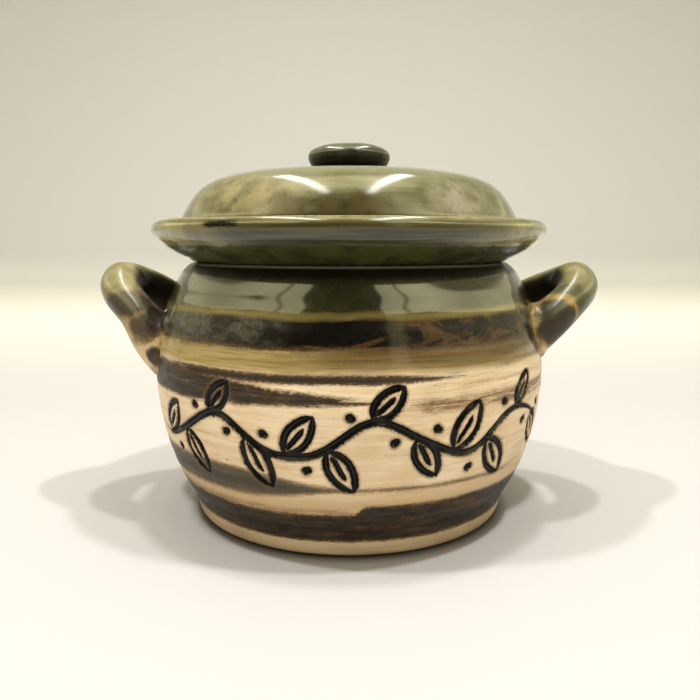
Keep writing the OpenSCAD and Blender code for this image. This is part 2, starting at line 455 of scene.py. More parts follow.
def vine():
    along = np.linspace(*VINE_ENDS, 260)
    wave = 2 * math.pi / VINE_WAVE
    height = VINE_HEIGHT + VINE_SWING * np.sin(wave * along + 0.5) + 0.5 * np.sin(0.33 * along)
    cuts = [cut(np.stack([along, height], -1), STEM_WIDTH, 0.2)]
    draw = np.random.RandomState(11)
    for k, s in enumerate(np.arange(FIRST_LEAF, LAST_LEAF, LEAF_PITCH)):
        up = 1 if k % 2 == 0 else -1
        reach = LEAF_LENGTH + draw.uniform(-1.2, 1.2)
        tilt = math.radians(LEAF_TILT + draw.uniform(-7, 7))
        foot = np.array([s, np.interp(s, along, height) + 0.8 * up])
        tip = foot + reach * np.array([math.cos(tilt), up * math.sin(tilt)])
        tip[1] = np.clip(tip[1], LEAF_LOWEST, LEAF_HIGHEST)
        cuts += leaf(foot, tip, LEAF_SWELL + draw.uniform(-0.03, 0.03), LEAF_WIDTH)
        beside = s + BERRY_STEP
        drop = BERRY_DROP + draw.uniform(-0.4, 0.6)
        berry = np.array([beside, np.interp(beside, along, height) - up * drop])
        cuts.append((berry + np.array([[0, 0], [0.5, 0.25 * up]]), np.array([BERRY_WIDTH, 1.0])))
    return cuts


def nearness_to_cuts(places, cuts):
    """Distance of each place from the nearest cut, as a share of that cut's half width."""
    best = np.full(len(places), FAR_FROM_CUTS)
    for line, width in cuts:
        for a, b, wa, wb in zip(line[:-1], line[1:], width[:-1], width[1:]):
            reach = 3.2 * max(wa, wb)
            inside = (places > np.minimum(a, b) - reach) & (places < np.maximum(a, b) + reach)
            near = np.flatnonzero(inside.all(axis=1))
            if not len(near):
                continue
            p, d = places[near] - a, b - a
            t = np.clip(p @ d / max(d @ d, 1e-9), 0, 1)
            gap = np.linalg.norm(p - t[:, None] * d, axis=1) / (wa + t * (wb - wa))
            best[near] = np.minimum(best[near], gap)
    return best


carved_rows = [i for i in range(len(pot_points)) if carved_row(i)]
belly_places = np.vstack([
    np.stack([fine_angles * VINE_RADIUS, np.full(len(fine_angles), pot_points[i, 1])], -1)
    for i in carved_rows
])
belly_shares = nearness_to_cuts(belly_places, vine()).reshape(len(carved_rows), -1)
cut_share = dict(zip(carved_rows, belly_shares))

edge_chatter = hand_waves(5, 14, 90, 420)
pot_sway = hand_waves(1, 6, 2, 5)
ring_sway = hand_waves(2, 5, 1, 3)


def inner_shape(angles, r, z):
    """Throwing rings that climb the inside in a spiral."""
    if z > POT_HEIGHT - 5 or z < FLOOR + 0.5 and r < 20:
        return np.zeros(len(angles))
    spiral = np.sin(2 * math.pi * z / INNER_RING_PITCH - angles)
    return INNER_RING_DEPTH * spiral * ease(z, FLOOR, FLOOR + 6) * ease(POT_HEIGHT - z, 5, 9)


def pot_shape(angles, i):
    r, z, _ = pot_points[i]
    if not pot_outer[i]:
        return inner_shape(angles, r, z)
    if z < 1.0:
        return np.zeros(len(angles))
    body = ease(z, 1.0, 6.0) * ease(POT_HEIGHT - z, 1.5, 8.0)
    rings = 0.5 + 0.5 * np.sin(2 * math.pi * (z + 0.6 * ring_sway(angles, z)) / RING_PITCH + angles)
    move = -body * (POT_SKIN + RING_DEPTH * rings + POT_SWAY * (1 + pot_sway(angles, z)) / 2)
    if i in cut_share:
        near = cut_share[i] * (1 + 0.1 * edge_chatter(angles, 7 * z))
        move = move - GROOVE_DEPTH * (1 - ease(near, 0.2, 1.12))
        burr = ease(near, 0.9, 1.25) * (1 - ease(near, 1.35, 2.1))
        move = move + BURR_HEIGHT * burr * (0.6 + 0.8 * edge_chatter(angles * 0.5, 3 * z))
    return move


def pot_marks(angles, i):
    carved = cut_share.get(i, np.full(len(angles), FAR_FROM_CUTS))
    return {"carved": carved, "inside": np.full(len(angles), 0.0 if pot_outer[i] else 1.0)}


pot = turned("crock_pot", pot_points, pot_angles, pot_shape, marks=pot_marks)
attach(pot, "pot")
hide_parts("pot_body")


# Ear handles: a coil pulled into a loop and thumbed on to the shoulder

def unit(vectors):
    return vectors / np.linalg.norm(vectors, axis=-1, keepdims=True)


def ear_line(root_drop, sag, roll, pinch):
    """Middle line of the coil from root to root, how near a root each point is, and which way is up."""
    half_span = HANDLE_SPAN / 2
    root_height = POT_HEIGHT - root_drop
    root = np.array([math.sqrt(wall_radius(root_height) ** 2 - half_span ** 2), 0, root_height])
    apex = np.array([HANDLE_REACH - HANDLE_THICKNESS / 2, 0, HANDLE_TOP - HANDLE_THICKNESS / 2])
    rise = apex - root
    out = unit(rise)
    along = np.array([0, math.cos(math.radians(roll)), math.sin(math.radians(roll))])
    # The limbs sag down the wall
    sweep = np.linspace(-1, 1, LOOP_STEPS)[:, None]
    limb = np.abs(sweep)
    bend = sweep * math.pi / 2
    loop = root + half_span * np.sin(bend) * along + np.cos(bend) * rise
    loop[:, 2:] -= sag * limb ** SAG_POWER
    # Pushed in below the crown by the thumb, and swelling out again above the root
    swell, dent = (np.exp(-((limb - at) / width) ** 2) for at, width in (ROOT_SWELL, THUMB_DENT))
    loop += pinch * (swell - dent) * out
    # Each end runs on into the wall
    deep = np.linspace(1, 1 / OVERRUN_STEPS, OVERRUN_STEPS)[:, None]
    overrun = deep * ROOT_OVERRUN * out
    line = np.vstack([loop[0] - overrun, loop, loop[-1] - overrun[::-1]])
    buried = AT_WALL + (1 - AT_WALL) * deep[:, 0]
    nearness = np.r_[buried, AT_WALL * limb[:, 0], buried[::-1]]
    return line, nearness, unit(np.cross(out, along))


def pressed_on(places, middle):
    """Clay smeared out where the coil meets the wall, with its hidden end pressed against the wall."""
    gap = np.hypot(places[:, 0], places[:, 1]) - wall_radius(places[:, 2])
    spread = places - middle
    spread /= np.maximum(np.linalg.norm(spread, axis=1), TINY)[:, None]
    places = places + (SMEAR * np.clip(1 - gap / SMEAR_REACH, 0, 1) ** 2)[:, None] * spread
    radius = np.hypot(places[:, 0], places[:, 1])
    least = wall_radius(places[:, 2]) - PRESSED_DEPTH
    places[:, :2] *= (np.maximum(radius, least) / np.maximum(radius, TINY))[:, None]
    return places


def coil_faces(count, sides):
    """Faces of a coil of this many rings, closed at both ends, and their places on the sheet."""
    faces, sheet = [], []
    last = (count - 1) * sides
    for i in range(count - 1):
        u0, u1 = i / (count - 1), (i + 1) / (count - 1)
        for j in range(sides):
            n = (j + 1) % sides
            v0, v1 = j / sides, (j + 1) / sides
            faces.append([i * sides + j, i * sides + n, (i + 1) * sides + n, (i + 1) * sides + j])
            sheet.append([(u0, v0), (u0, v1), (u1, v1), (u1, v0)])
    for j in range(sides):
        n = (j + 1) % sides
        v0, v1 = j / sides, (j + 1) / sides
        faces.append([count * sides, n, j])
        sheet.append([(0, 0.5), (0, v1), (0, v0)])
        faces.append([count * sides + 1, last + j, last + n])
        sheet.append([(1, 0.5), (1, v0), (1, v1)])
    return faces, sheet


def ear_handle(name, side, root_drop, sag, roll, pinch, seed):
    line, nearness, up = ear_line(root_drop, sag, roll, pinch)
    count = len(line)
    slim = np.sin(math.pi / 2 * np.minimum(1, 2 * nearness)) * (HANDLE_THICKNESS - LIMB_THICKNESS)
    girth = (HANDLE_THICKNESS - slim) / 2 + ROOT_FLARE * nearness ** FLARE_POWER
    tail = ROOT_TAIL * nearness ** FLARE_POWER
    tangent = unit(np.gradient(line, axis=0))
    across = unit(np.cross(tangent, up))
    over = np.cross(across, tangent)
    around = np.linspace(0, 2 * math.pi, COIL_SIDES, endpoint=False)
    lift = np.sin(around)
    squeeze = hand_waves(seed, 7, 1, 3)
    rings = []
    for i in range(count):
        size = girth[i] - SQUEEZE + SQUEEZE * squeeze(around, 24.0 * i / count)
        ring = line[i] + size[:, None] * (np.cos(around)[:, None] * across[i] + lift[:, None] * over[i])
        rings.append(ring + (np.minimum(0, lift) * tail[i])[:, None] * over[i])
    tips = [line[:1], line[-1:]]
    places = pressed_on(np.vstack(rings + tips), np.vstack([np.repeat(line, COIL_SIDES, axis=0)] + tips))
    faces, sheet = coil_faces(count, COIL_SIDES)
    if side < 0:
        places[:, 0] *= -1
        faces = [f[::-1] for f in faces]
        sheet = [s[::-1] for s in sheet]
    piece = piece_from(name, places, faces, sheet)
    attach(piece, "pot")
    return piece


left_handle = ear_handle("crock_left_handle", -1, root_drop=13.5, sag=8.5, roll=8.0, pinch=1.1, seed=21)
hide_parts("left_handle")
right_handle = ear_handle("crock_right_handle", 1, root_drop=15.5, sag=1.5, roll=5.0, pinch=0.3, seed=22)
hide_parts("right_handle")


# Lid profile, walked from the top of the hollow down to the seat, then up the outside

lip = np.array([FLANGE_RADIUS - LIP_ROUND, POT_HEIGHT + LIP_HEIGHT])
nose = lip - [0, LIP_ROUND]
seat = np.array([SEAT_RADIUS, POT_HEIGHT])
flange_width = FLANGE_RADIUS - SEAT_RADIUS
dome_foot = np.array([DOME_RADIUS, lip[1]])
hollow_foot = dome_foot - [LID_WALL, 0]
gutter = np.array([DOME_RADIUS + GUTTER_SHARE * (lip[0] - DOME_RADIUS), lip[1] - GUTTER_DEPTH])
gutter_width = lip[0] - gutter[0]


def dome_curve(foot, top, land):
    return bezier(foot, foot + (top - foot[1]) * DOME_LEAN, (DOME_FLAT * foot[0], top), (land, top), 60)


lid_neck = bezier(
    (COLLAR_BORE, POT_HEIGHT),
    (COLLAR_BORE, POT_HEIGHT + 0.5 * LIP_HEIGHT),
    hollow_foot - [0, 0.6 * LIP_HEIGHT],
    hollow_foot,
)
flange_side = bezier(
    seat,
    seat + [0.45 * flange_width, 0.16 * LIP_HEIGHT],
    seat + [flange_width, 0.45 * LIP_HEIGHT],
    nose + [LIP_ROUND, 0],
)
gutter_fall = bezier(
    lip,
    lip - [0.5 * gutter_width, 0],
    gutter + [0.35 * gutter_width, 0],
    gutter,
)
gutter_rise = bezier(
    gutter,
    gutter - [0.6 * (gutter[0] - DOME_RADIUS), 0],
    dome_foot - [0, 0.6 * GUTTER_DEPTH],
    dome_foot,
)
lid_line = softened(np.vstack([
    dome_curve(hollow_foot, CROWN - LID_WALL, 0)[::-1],
    lid_neck[::-1][1:],
    flange_side,
    round_edge(nose, LIP_ROUND, 0)[1:],
    gutter_fall[1:],
    gutter_rise[1:],
    dome_curve(dome_foot, CROWN, KNOB_FOOT + 1)[1:],
    [(0, CROWN)],
]), LID_SOFTNESS)


def lid_gap(r, z, share):
    if share < LID_UNDER_SHARE:
        return GAP_UNDER_LID if r > UNDER_LID_PLAIN else 2 * GAP_UNDER_LID
    return GAP_LID if r > LID_TOP_PLAIN else 2 * GAP_LID


lid_points = spaced(lid_line, lid_gap)
on_seat = (lid_points[:, 1] < POT_HEIGHT + 0.02) & (lid_points[:, 0] > COLLAR_BORE - 0.5)
lid_under = np.arange(len(lid_points)) < np.argmax(on_seat)
lid_sway = hand_waves(3, 6, 2, 6)
lip_sway = hand_waves(4, 5, 2, 7)


def lid_shape(angles, i):
    r, z, _ = lid_points[i]
    if lid_under[i] or z < POT_HEIGHT + 0.6:
        return np.zeros(len(angles))
    outer = ease(z, POT_HEIGHT + 0.6, POT_HEIGHT + 5) * ease(r, 10, 16)
    rings = 0.5 + 0.5 * np.sin(2 * math.pi * (r + 1.3 * z) / LID_RING_PITCH + angles)
    flange = ease(r, DOME_RADIUS + 1.5, FLANGE_RADIUS - 2)
    move = LID_SKIN + LID_RING_DEPTH * rings + LID_SWAY * (1 + lid_sway(angles, z)) / 2
    return -outer * (move + LIP_SWAY * flange * (1 + lip_sway(angles, 0)) / 2)


def lid_marks(angles, i):
    return {"inside": np.full(len(angles), 1.0 if lid_under[i] else 0.0)}


lid = turned("crock_lid", lid_points, lambda i: even_angles(LID_STEPS), lid_shape, marks=lid_marks)
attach(lid, "lid")
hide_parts("lid")

# Collar, which drops into the mouth
collar_low = POT_HEIGHT - COLLAR_DEPTH + COLLAR_ROUND
collar_line = np.vstack([
    [(COLLAR_BORE, POT_HEIGHT)],
    round_edge((COLLAR_BORE + COLLAR_ROUND, collar_low), COLLAR_ROUND, 180),
    round_edge((COLLAR_RADIUS - COLLAR_ROUND, collar_low), COLLAR_ROUND, 270),
    [(COLLAR_RADIUS, POT_HEIGHT), (COLLAR_BORE, POT_HEIGHT)],
])
collar_points = spaced(collar_line, lambda r, z, share: COLLAR_GAP)[:-1]
collar_sway = hand_waves(6, 5, 2, 5)


def collar_shape(angles, i):
    z = collar_points[i, 1]
    return -COLLAR_SWAY * (1 + collar_sway(angles, z)) * (z < POT_HEIGHT - 0.5)


collar = turned(
    "crock_lid_collar", collar_points, lambda i: even_angles(COLLAR_STEPS), collar_shape, closed=True,
)
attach(collar, "lid")
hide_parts("lid_collar")

# Knob: a flattened button
knob_top = CROWN + KNOB_HEIGHT
knob_waist = np.array([KNOB_RADIUS, CROWN + KNOB_WAIST])
knob_under = bezier(
    (KNOB_FOOT, CROWN + 0.35),
    (KNOB_FOOT + 0.55 * (KNOB_RADIUS - KNOB_FOOT), CROWN + 0.2),
    knob_waist - [0, 0.52 * KNOB_WAIST],
    knob_waist,
)
knob_over = bezier(
    knob_waist,
    knob_waist + [0, 0.56 * (KNOB_HEIGHT - KNOB_WAIST)],
    (0.65 * KNOB_RADIUS, knob_top),
    (0, knob_top),
)
knob_line = softened(np.vstack([
    [(0, CROWN), (KNOB_FOOT + 0.3, CROWN)],
    knob_under,
    knob_over[1:],
]), KNOB_SOFTNESS)
knob_points = spaced(knob_line, lambda r, z, share: KNOB_GAP)
knob_sway = hand_waves(7, 6, 1, 4)


def knob_shape(angles, i):
    r, z, _ = knob_points[i]
    return -KNOB_SWAY * (1 + knob_sway(angles, 2 * z)) / 2 * ease(z, CROWN + 0.3, CROWN + 2) * ease(r, 1, 5)


knob = turned("crock_lid_knob", knob_points, lambda i: even_angles(KNOB_STEPS), knob_shape)
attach(knob, "lid")
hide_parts("lid_knob")


# Building materials. Their places are in millimetres, heights above the floor, and degrees from the front.

TO_MM = 1 / MM
DEGREES = 180 / math.pi
GLASS_IOR = 1.52
PLACE = ("Place", (0.0, 0.0, 0.0))


class Bench:
    """Lays out the nodes of one tree. An input is a number, a colour or another node's output."""

    def __init__(self, tree):
        self.tree = tree
        tree.nodes.clear()

    def add(self, kind, inputs=None, **settings):
        node = self.tree.nodes.new(kind)
        for key, value in settings.items():
            setattr(node, key, value)
        for key, value in (inputs or {}).items():
            self.set(node.inputs[key], value)
        return node

    def set(self, socket, value):
        if isinstance(value, bpy.types.NodeSocket):
            self.tree.links.new(value, socket)
        elif value is not None:
            socket.default_value = value

    def math(self, operation, *values, clamp=False):
        node = self.add("ShaderNodeMath", operation=operation, use_clamp=clamp)
        for socket, value in zip(node.inputs, values):
            self.set(socket, value)
        return node.outputs[0]

    def plus(self, a, b, clamp=False):
        return self.math("ADD", a, b, clamp=clamp)

    def less(self, a, b):
        return self.math("SUBTRACT", a, b)

    def times(self, *values):
        total = values[0]
        for value in values[1:]:
            total = self.math("MULTIPLY", total, value)
        return total

    def scaled(self, value, by, plus):
        return self.math("MULTIPLY_ADD", value, by, plus)

    def swing(self, noise, size):
        """Noise from 0 to 1 made to swing this far to each side of nothing."""
        return self.scaled(noise, 2 * size, -size)

    def most(self, *values):
        top = values[0]
        for value in values[1:]:
            top = self.math("MAXIMUM", top, value)
        return top

    def away(self, value, middle):
        return self.math("ABSOLUTE", self.less(value, middle))

    def ramp(self, value, low, high, to_low=0.0, to_high=1.0, smooth=True):
        node = self.add("ShaderNodeMapRange", {0: value, 1: low, 2: high, 3: to_low, 4: to_high},
                        interpolation_type="SMOOTHSTEP" if smooth else "LINEAR")
        return node.outputs[0]

    def mix(self, share, a, b):
        node = self.add("ShaderNodeMix", data_type="RGBA")
        for index, value in ((0, share), (6, a), (7, b)):
            self.set(node.inputs[index], value + (1.0,) if isinstance(value, tuple) else value)
        return node.outputs[2]

    def vector(self, operation, a, b=None, scale=None):
        node = self.add("ShaderNodeVectorMath", operation=operation)
        for index, value in ((0, a), (1, b), (3, scale)):
            self.set(node.inputs[index], value)
        return node.outputs[1] if operation == "LENGTH" else node.outputs[0]

    def in_mm(self, place):
        return self.vector("SCALE", place, scale=TO_MM)

    def parts(self, vector):
        return self.add("ShaderNodeSeparateXYZ", {0: vector}).outputs

    def joined(self, x, y, z):
        return self.add("ShaderNodeCombineXYZ", {0: x, 1: y, 2: z}).outputs[0]

    def noise(self, vector, scale, detail, roughness, distortion=0.0):
        return self.add("ShaderNodeTexNoise", {"Vector": vector, "Scale": scale, "Detail": detail,
                                               "Roughness": roughness, "Distortion": distortion}).outputs[0]

    def group(self, tree, **inputs):
        node = self.add("ShaderNodeGroup", node_tree=tree)
        for key, value in inputs.items():
            self.set(node.inputs[key.capitalize()], value)
        return node.outputs

    def streak(self, place, length, fineness, seed):
        return self.group(streaks, place=place, length=length, fineness=fineness, seed=seed)["Streak"]


def effect(name, inputs, outputs):
    """An empty node group with these named sockets, and the bench to fill it on."""
    tree = bpy.data.node_groups.new(name, "ShaderNodeTree")
    bench = Bench(tree)
    for label, default in inputs:
        kind = "NodeSocketVector" if isinstance(default, tuple) else "NodeSocketFloat"
        tree.interface.new_socket(name=label, in_out="INPUT", socket_type=kind).default_value = default
    for label in outputs:
        kind = "NodeSocketColor" if label == "Colour" else "NodeSocketFloat"
        tree.interface.new_socket(name=label, in_out="OUTPUT", socket_type=kind)
    given = bench.add("NodeGroupInput").outputs
    made = bench.add("NodeGroupOutput").inputs
    return tree, bench, given, made


# Where a point is on the wheel: degrees from the front, and millimetres up and out
wheel, b, given, made = effect("wheel_place", [PLACE], ["Angle", "Height", "Radius"])
x, y, z = b.parts(given["Place"])
b.set(made["Angle"], b.times(b.math("ARCTAN2", x, b.times(y, -1.0)), DEGREES))
b.set(made["Height"], b.times(z, TO_MM))
b.set(made["Radius"], b.times(b.vector("LENGTH", b.joined(x, y, 0.0)), TO_MM))

# Streaks left by anything held against the turning clay
streaks, b, given, made = effect(
    "wheel_streaks", [PLACE, ("Length", 3.0), ("Fineness", 1.3), ("Seed", 0.0)], ["Streak"],
)
x, y, z = b.parts(given["Place"])
out = b.most(b.vector("LENGTH", b.joined(x, y, 0.0)), MM)
lane = b.scaled(given["Seed"], 3.7, b.times(z, TO_MM, given["Fineness"]))
around = [b.times(b.math("DIVIDE", side, out), given["Length"]) for side in (x, y)]
b.set(made["Streak"], b.noise(b.joined(*around, lane), 1.0, 4.0, 0.6))

# A brush held against the turning pot: a ragged band with dry streaks and smoky patches
brush, b, given, made = effect(
    "brush_band",
    [PLACE, ("Height", 0.0), ("Width", 3.0), ("Start", -400.0), ("End", 400.0), ("Fade", 12.0),
     ("Wander", 0.5), ("Ragged", 0.6), ("Dry", 0.2), ("Smoke", 0.2), ("Seed", 0.0)],
    ["Load"],
)
turn = b.group(wheel, place=given["Place"])
spot = b.in_mm(given["Place"])
slow = b.streak(given["Place"], 1.8, 0.0, given["Seed"])
bristle = b.streak(given["Place"], 4.0, 1.1, given["Seed"])
hair = b.streak(given["Place"], 9.0, 3.2, given["Seed"])
grain = b.noise(b.vector("MULTIPLY", spot, (0.4, 0.4, 1.5)), 0.8, 4.0, 0.7)
crumbs = b.noise(b.vector("MULTIPLY", spot, (0.55, 0.55, 1.4)), 1.8, 3.0, 0.65)
cloud = b.noise(b.vector("MULTIPLY", spot, (0.6, 0.6, 1.3)), 0.16, 5.0, 0.68, 0.6)
offset = b.less(b.less(turn["Height"], given["Height"]), b.times(b.swing(slow, 2.0), given["Wander"]))
inside = b.less(given["Width"], b.math("ABSOLUTE", offset))
tooth = b.plus(b.plus(b.swing(bristle, 2.0), b.swing(grain, 0.75)), b.swing(hair, 1.0))
body = b.math("MULTIPLY", b.scaled(tooth, given["Ragged"], inside), 0.5, clamp=True)
ends = b.math("MINIMUM", b.less(turn["Angle"], given["Start"]), b.less(given["End"], turn["Angle"]))
ends = b.plus(b.math("DIVIDE", ends, given["Fade"]), b.scaled(bristle, 3.0, -1.65), clamp=True)
bald = b.times(b.ramp(b.plus(b.times(bristle, 0.6), b.times(hair, 0.4)), 0.42, 0.6), given["Dry"])
smoked = b.times(b.ramp(cloud, 0.36, 0.66), given["Smoke"])
load = b.times(body, ends, b.times(b.less(1.0, bald), b.less(1.0, smoked)))
crumbled = b.times(load, b.less(1.0, load), b.swing(crumbs, 1.4))
b.set(made["Load"], b.plus(load, crumbled, clamp=True))

# A patch of thicker or thinner glaze round one spot
patch, b, given, made = effect(
    "glaze_patch",
    [PLACE, ("Centre", (0.0, 0.0, 0.0)), ("Stretch", (1.0, 1.0, 1.0)), ("Size", 8.0), ("Ragged", 0.5)],
    ["Mask"],
)
off = b.vector("MULTIPLY", b.vector("SUBTRACT", given["Place"], given["Centre"]), given["Stretch"])
share_out = b.math("DIVIDE", b.times(b.vector("LENGTH", off), TO_MM), given["Size"])
rough = b.noise(b.in_mm(given["Place"]), 0.22, 3.0, 0.55)
share_out = b.plus(share_out, b.times(b.less(rough, 0.5), given["Ragged"]))
b.set(made["Mask"], b.less(1.0, share_out))

# Iron specks in the clay and pinholes in the glaze
specks, b, given, made = effect(
    "specks", [PLACE, ("Spacing", 4.0), ("Size", 0.2), ("Share", 0.5)], ["Mask"],
)
cells = b.add("ShaderNodeTexVoronoi", {
    "Vector": b.in_mm(given["Place"]),
    "Scale": b.math("DIVIDE", 1.0, given["Spacing"]),
})
pick = b.parts(cells.outputs["Color"])
size = b.times(given["Size"], b.scaled(pick[1], 0.9, 0.4))
dot = b.ramp(b.less(cells.outputs["Distance"], size), -0.03, 0.03, 1.0, 0.0)
b.set(made["Mask"], b.times(dot, b.math("LESS_THAN", pick[0], given["Share"])))

# The skin of a fired glaze: slow swells with a fine ripple
skin, b, given, made = effect("glaze_skin", [PLACE, ("Swell", 1.0), ("Ripple", 0.25)], ["Height"])
spot = b.in_mm(given["Place"])
swell = b.times(b.noise(spot, 0.11, 2.0, 0.5), given["Swell"])
ripple = b.times(b.noise(spot, 0.6, 2.0, 0.5), given["Ripple"])
b.set(made["Height"], b.plus(swell, ripple))

# The honey-coloured glaze inside the pot and the lid
LINING = (0.46, 0.34, 0.17)
LINING_SHADE = (0.36, 0.25, 0.105)
lining, b, given, made = effect("lining", [("Inside", 0.0), ("Cloud", 0.5)], ["Mask", "Colour"])
b.set(made["Mask"], b.ramp(given["Inside"], 0.4, 0.6))
b.set(made["Colour"], b.mix(b.ramp(given["Cloud"], 0.3, 0.7), LINING, LINING_SHADE))


class Glaze(Bench):
    """The nodes of one glaze or clay, whose colour is laid on coat by coat."""

    def __init__(self, name, specular=0.5, gloss=0.06):
        self.material = bpy.data.materials.new(name)
        self.material.use_nodes = True
        super().__init__(self.material.node_tree)
        self.shader = self.add("ShaderNodeBsdfPrincipled", {
            "IOR": GLASS_IOR,
            "Coat IOR": GLASS_IOR,
            "Specular IOR Level": specular,
            "Coat Roughness": gloss,
        })
        self.add("ShaderNodeOutputMaterial", {0: self.shader.outputs[0]})
        self.place = self.add("ShaderNodeTexCoord").outputs["Object"]
        self.colour = None

    def on_wheel(self):
        turn = self.group(wheel, place=self.place)
        return turn["Angle"], turn["Height"], turn["Radius"]

    def marked(self, name):
        """A value that the mesh carries at each point."""
        return self.add("ShaderNodeAttribute", attribute_name=name).outputs["Fac"]

    def coat(self, share, colour):
        self.colour = self.mix(share, self.colour, colour)

    def paint(self, thick, thin, strength, **stroke):
        """One brush stroke: thin colour at its ragged edges and thick colour in its body."""
        load = self.group(brush, place=self.place, **stroke)["Load"]
        tone = self.mix(self.ramp(load, 0.3, 0.85), thin, thick)
        self.coat(self.ramp(load, 0.03, 0.5, 0.0, strength), tone)

    def speckle(self, colour, **dots):
        self.coat(self.group(specks, place=self.place, **dots)["Mask"], colour)

    def near(self, centre, **spread):
        """How near the middle of a patch a point is: 1 there and 0 at the patch's edge."""
        centre = tuple(c * MM for c in centre)
        return self.group(patch, place=self.place, centre=centre, **spread)["Mask"]

    def line_inside(self, cloud):
        """Glaze the inside, and return where that is."""
        made = self.group(lining, inside=self.marked("inside"), cloud=cloud)
        self.coat(made["Mask"], made["Colour"])
        return made["Mask"]

    def wavy(self, swell, ripple, depth):
        height = self.group(skin, place=self.place, swell=swell, ripple=ripple)["Height"]
        bump = self.add("ShaderNodeBump", {"Strength": 1.0, "Distance": depth * MM, "Height": height})
        self.shade("Normal", bump.outputs[0])

    def shade(self, socket, value):
        self.set(self.shader.inputs[socket], value)

    def fire(self, *pieces):
        """Give the finished colour and material to these pieces."""
        self.shade("Base Color", self.colour)
        for piece in pieces:
            piece.data.materials.append(self.material)


# Colours that more than one glaze has
UMBER = (0.08, 0.04, 0.014)
OXIDE = (0.0025, 0.002, 0.0017)
SMOKE_GREY = (0.055, 0.047, 0.031)
BARE = (0.64, 0.49, 0.30)
BARE_SHADE = (0.52, 0.38, 0.215)

# Pot colours
CREAM = (0.88, 0.715, 0.49)
WARM_CREAM = (0.74, 0.555, 0.335)
STREAK_TAN = (0.50, 0.325, 0.165)
SCRATCH_BROWN = (0.40, 0.245, 0.12)
GRIT_TAN = (0.50, 0.335, 0.175)
LOW_SHADE_TAN = (0.52, 0.355, 0.17)
RUST = (0.21, 0.12, 0.055)
CHARCOAL = (0.013, 0.011, 0.0085)
WORN_BLACK = (0.056, 0.050, 0.036)
HONEY = (0.385, 0.285, 0.095)
DARK_HONEY = (0.09, 0.052, 0.009)
HONEY_STREAK = (0.13, 0.08, 0.018)
HONEY_BROWN = (0.2, 0.11, 0.03)
BURNT = (0.20, 0.12, 0.055)
BURNT_EDGE = (0.46, 0.30, 0.15)
SMOKE_EDGE = (0.30, 0.19, 0.095)
SMOKE_CORE = (0.05, 0.038, 0.024)
DRY_RUST = (0.24, 0.14, 0.07)
DRY_BROWN = (0.13, 0.075, 0.038)
DRY_BROWN_EDGE = (0.40, 0.25, 0.125)
DRY_TAN = (0.19, 0.115, 0.06)
DRY_TAN_EDGE = (0.44, 0.29, 0.145)
SHOULDER_BROWN = (0.060, 0.048, 0.028)
SHOULDER_EDGE = (0.115, 0.082, 0.036)
HAZE = (0.055, 0.052, 0.038)
PALE_HAZE = (0.13, 0.12, 0.085)
OLIVE = (0.038, 0.036, 0.011)
DEEP_OLIVE = (0.017, 0.0165, 0.005)
YELLOW_EDGE = (0.215, 0.176, 0.046)
UNDER_LID_SHADE_BLACK = (0.004, 0.0045, 0.002)
GROOVE_BLACK = (0.004, 0.0035, 0.003)
RIM_GLINT_GREY = (0.30, 0.285, 0.19)
FOOT_SHADE_DARK = (0.05, 0.033, 0.02)

# Pot: cream slip with throwing lines, grit and specks
b = Glaze("pot_glaze", specular=0.16)
angle, height, radius = b.on_wheel()
spot = b.in_mm(b.place)
cloud = b.noise(spot, 0.05, 3.0, 0.6)
fine = b.noise(spot, 0.45, 3.0, 0.6)
grit = b.noise(spot, 1.4, 4.0, 0.7)
throwing = b.streak(b.place, 2.5, 0.55, 20.0)
hairline = b.streak(b.place, 5.0, 2.6, 21.0)
scratch = b.streak(b.place, 3.0, 1.5, 22.0)
uneven = b.ramp(b.scaled(throwing, 0.5, b.times(cloud, 0.5)), 0.4, 0.6)
b.colour = b.mix(uneven, CREAM, WARM_CREAM)
b.coat(b.ramp(hairline, 0.55, 0.72, 0.0, 0.5), STREAK_TAN)
b.coat(b.ramp(scratch, 0.6, 0.74, 0.0, 0.6), SCRATCH_BROWN)
b.coat(b.ramp(grit, 0.54, 0.78, 0.0, 0.4), GRIT_TAN)
# Darker tan towards the bottom: painted shade on the lower belly, which faces down
b.coat(b.ramp(height, 24.0, 15.0, 0.0, 0.75), LOW_SHADE_TAN)
b.speckle(RUST, spacing=4.5, size=0.07, share=0.35)
b.speckle(UMBER, spacing=9.0, size=0.06, share=0.4)
black = b.mix(b.ramp(b.noise(spot, 0.4, 5.0, 0.7), 0.42, 0.64), OXIDE, CHARCOAL)
black = b.mix(b.ramp(hairline, 0.5, 0.72, 0.0, 0.75), black, WORN_BLACK)


def on_the_right(first, last):
    """From the front round to the right, fading out again before the back."""
    return b.times(b.ramp(angle, first, last), b.ramp(angle, 172.0, 118.0))


# Thin yellow glaze that ran down from the shoulder
run_edge = b.scaled(cloud, 4.0, b.scaled(throwing, 3.0, -3.5))
honey = b.ramp(b.less(height, run_edge), 48.4, 51.0)
syrup = b.mix(b.times(on_the_right(-24.0, 4.0), b.ramp(height, 50.6, 53.2, 0.55, 1.0)), HONEY, DARK_HONEY)
syrup = b.mix(b.ramp(hairline, 0.45, 0.62, 0.0, 0.5), syrup, HONEY_STREAK)
b.coat(b.times(honey, b.ramp(scratch, 0.35, 0.65, 0.99, 0.87)), syrup)

# Band above the foot, with a burnt fringe
step_up = on_the_right(1.0, 5.0)
b.paint(BURNT, BURNT_EDGE, 0.85, height=14.4, width=1.7, start=-112.0, end=9.0, fade=10.0,
        wander=0.3, ragged=0.4, dry=0.4, smoke=0.25, seed=16.0)
b.paint(black, UMBER, 0.98, height=b.scaled(step_up, 1.4, 9.2), width=b.scaled(step_up, 1.2, 5.3),
        wander=0.4, ragged=0.22, dry=0.34, smoke=0.3, seed=1.0)
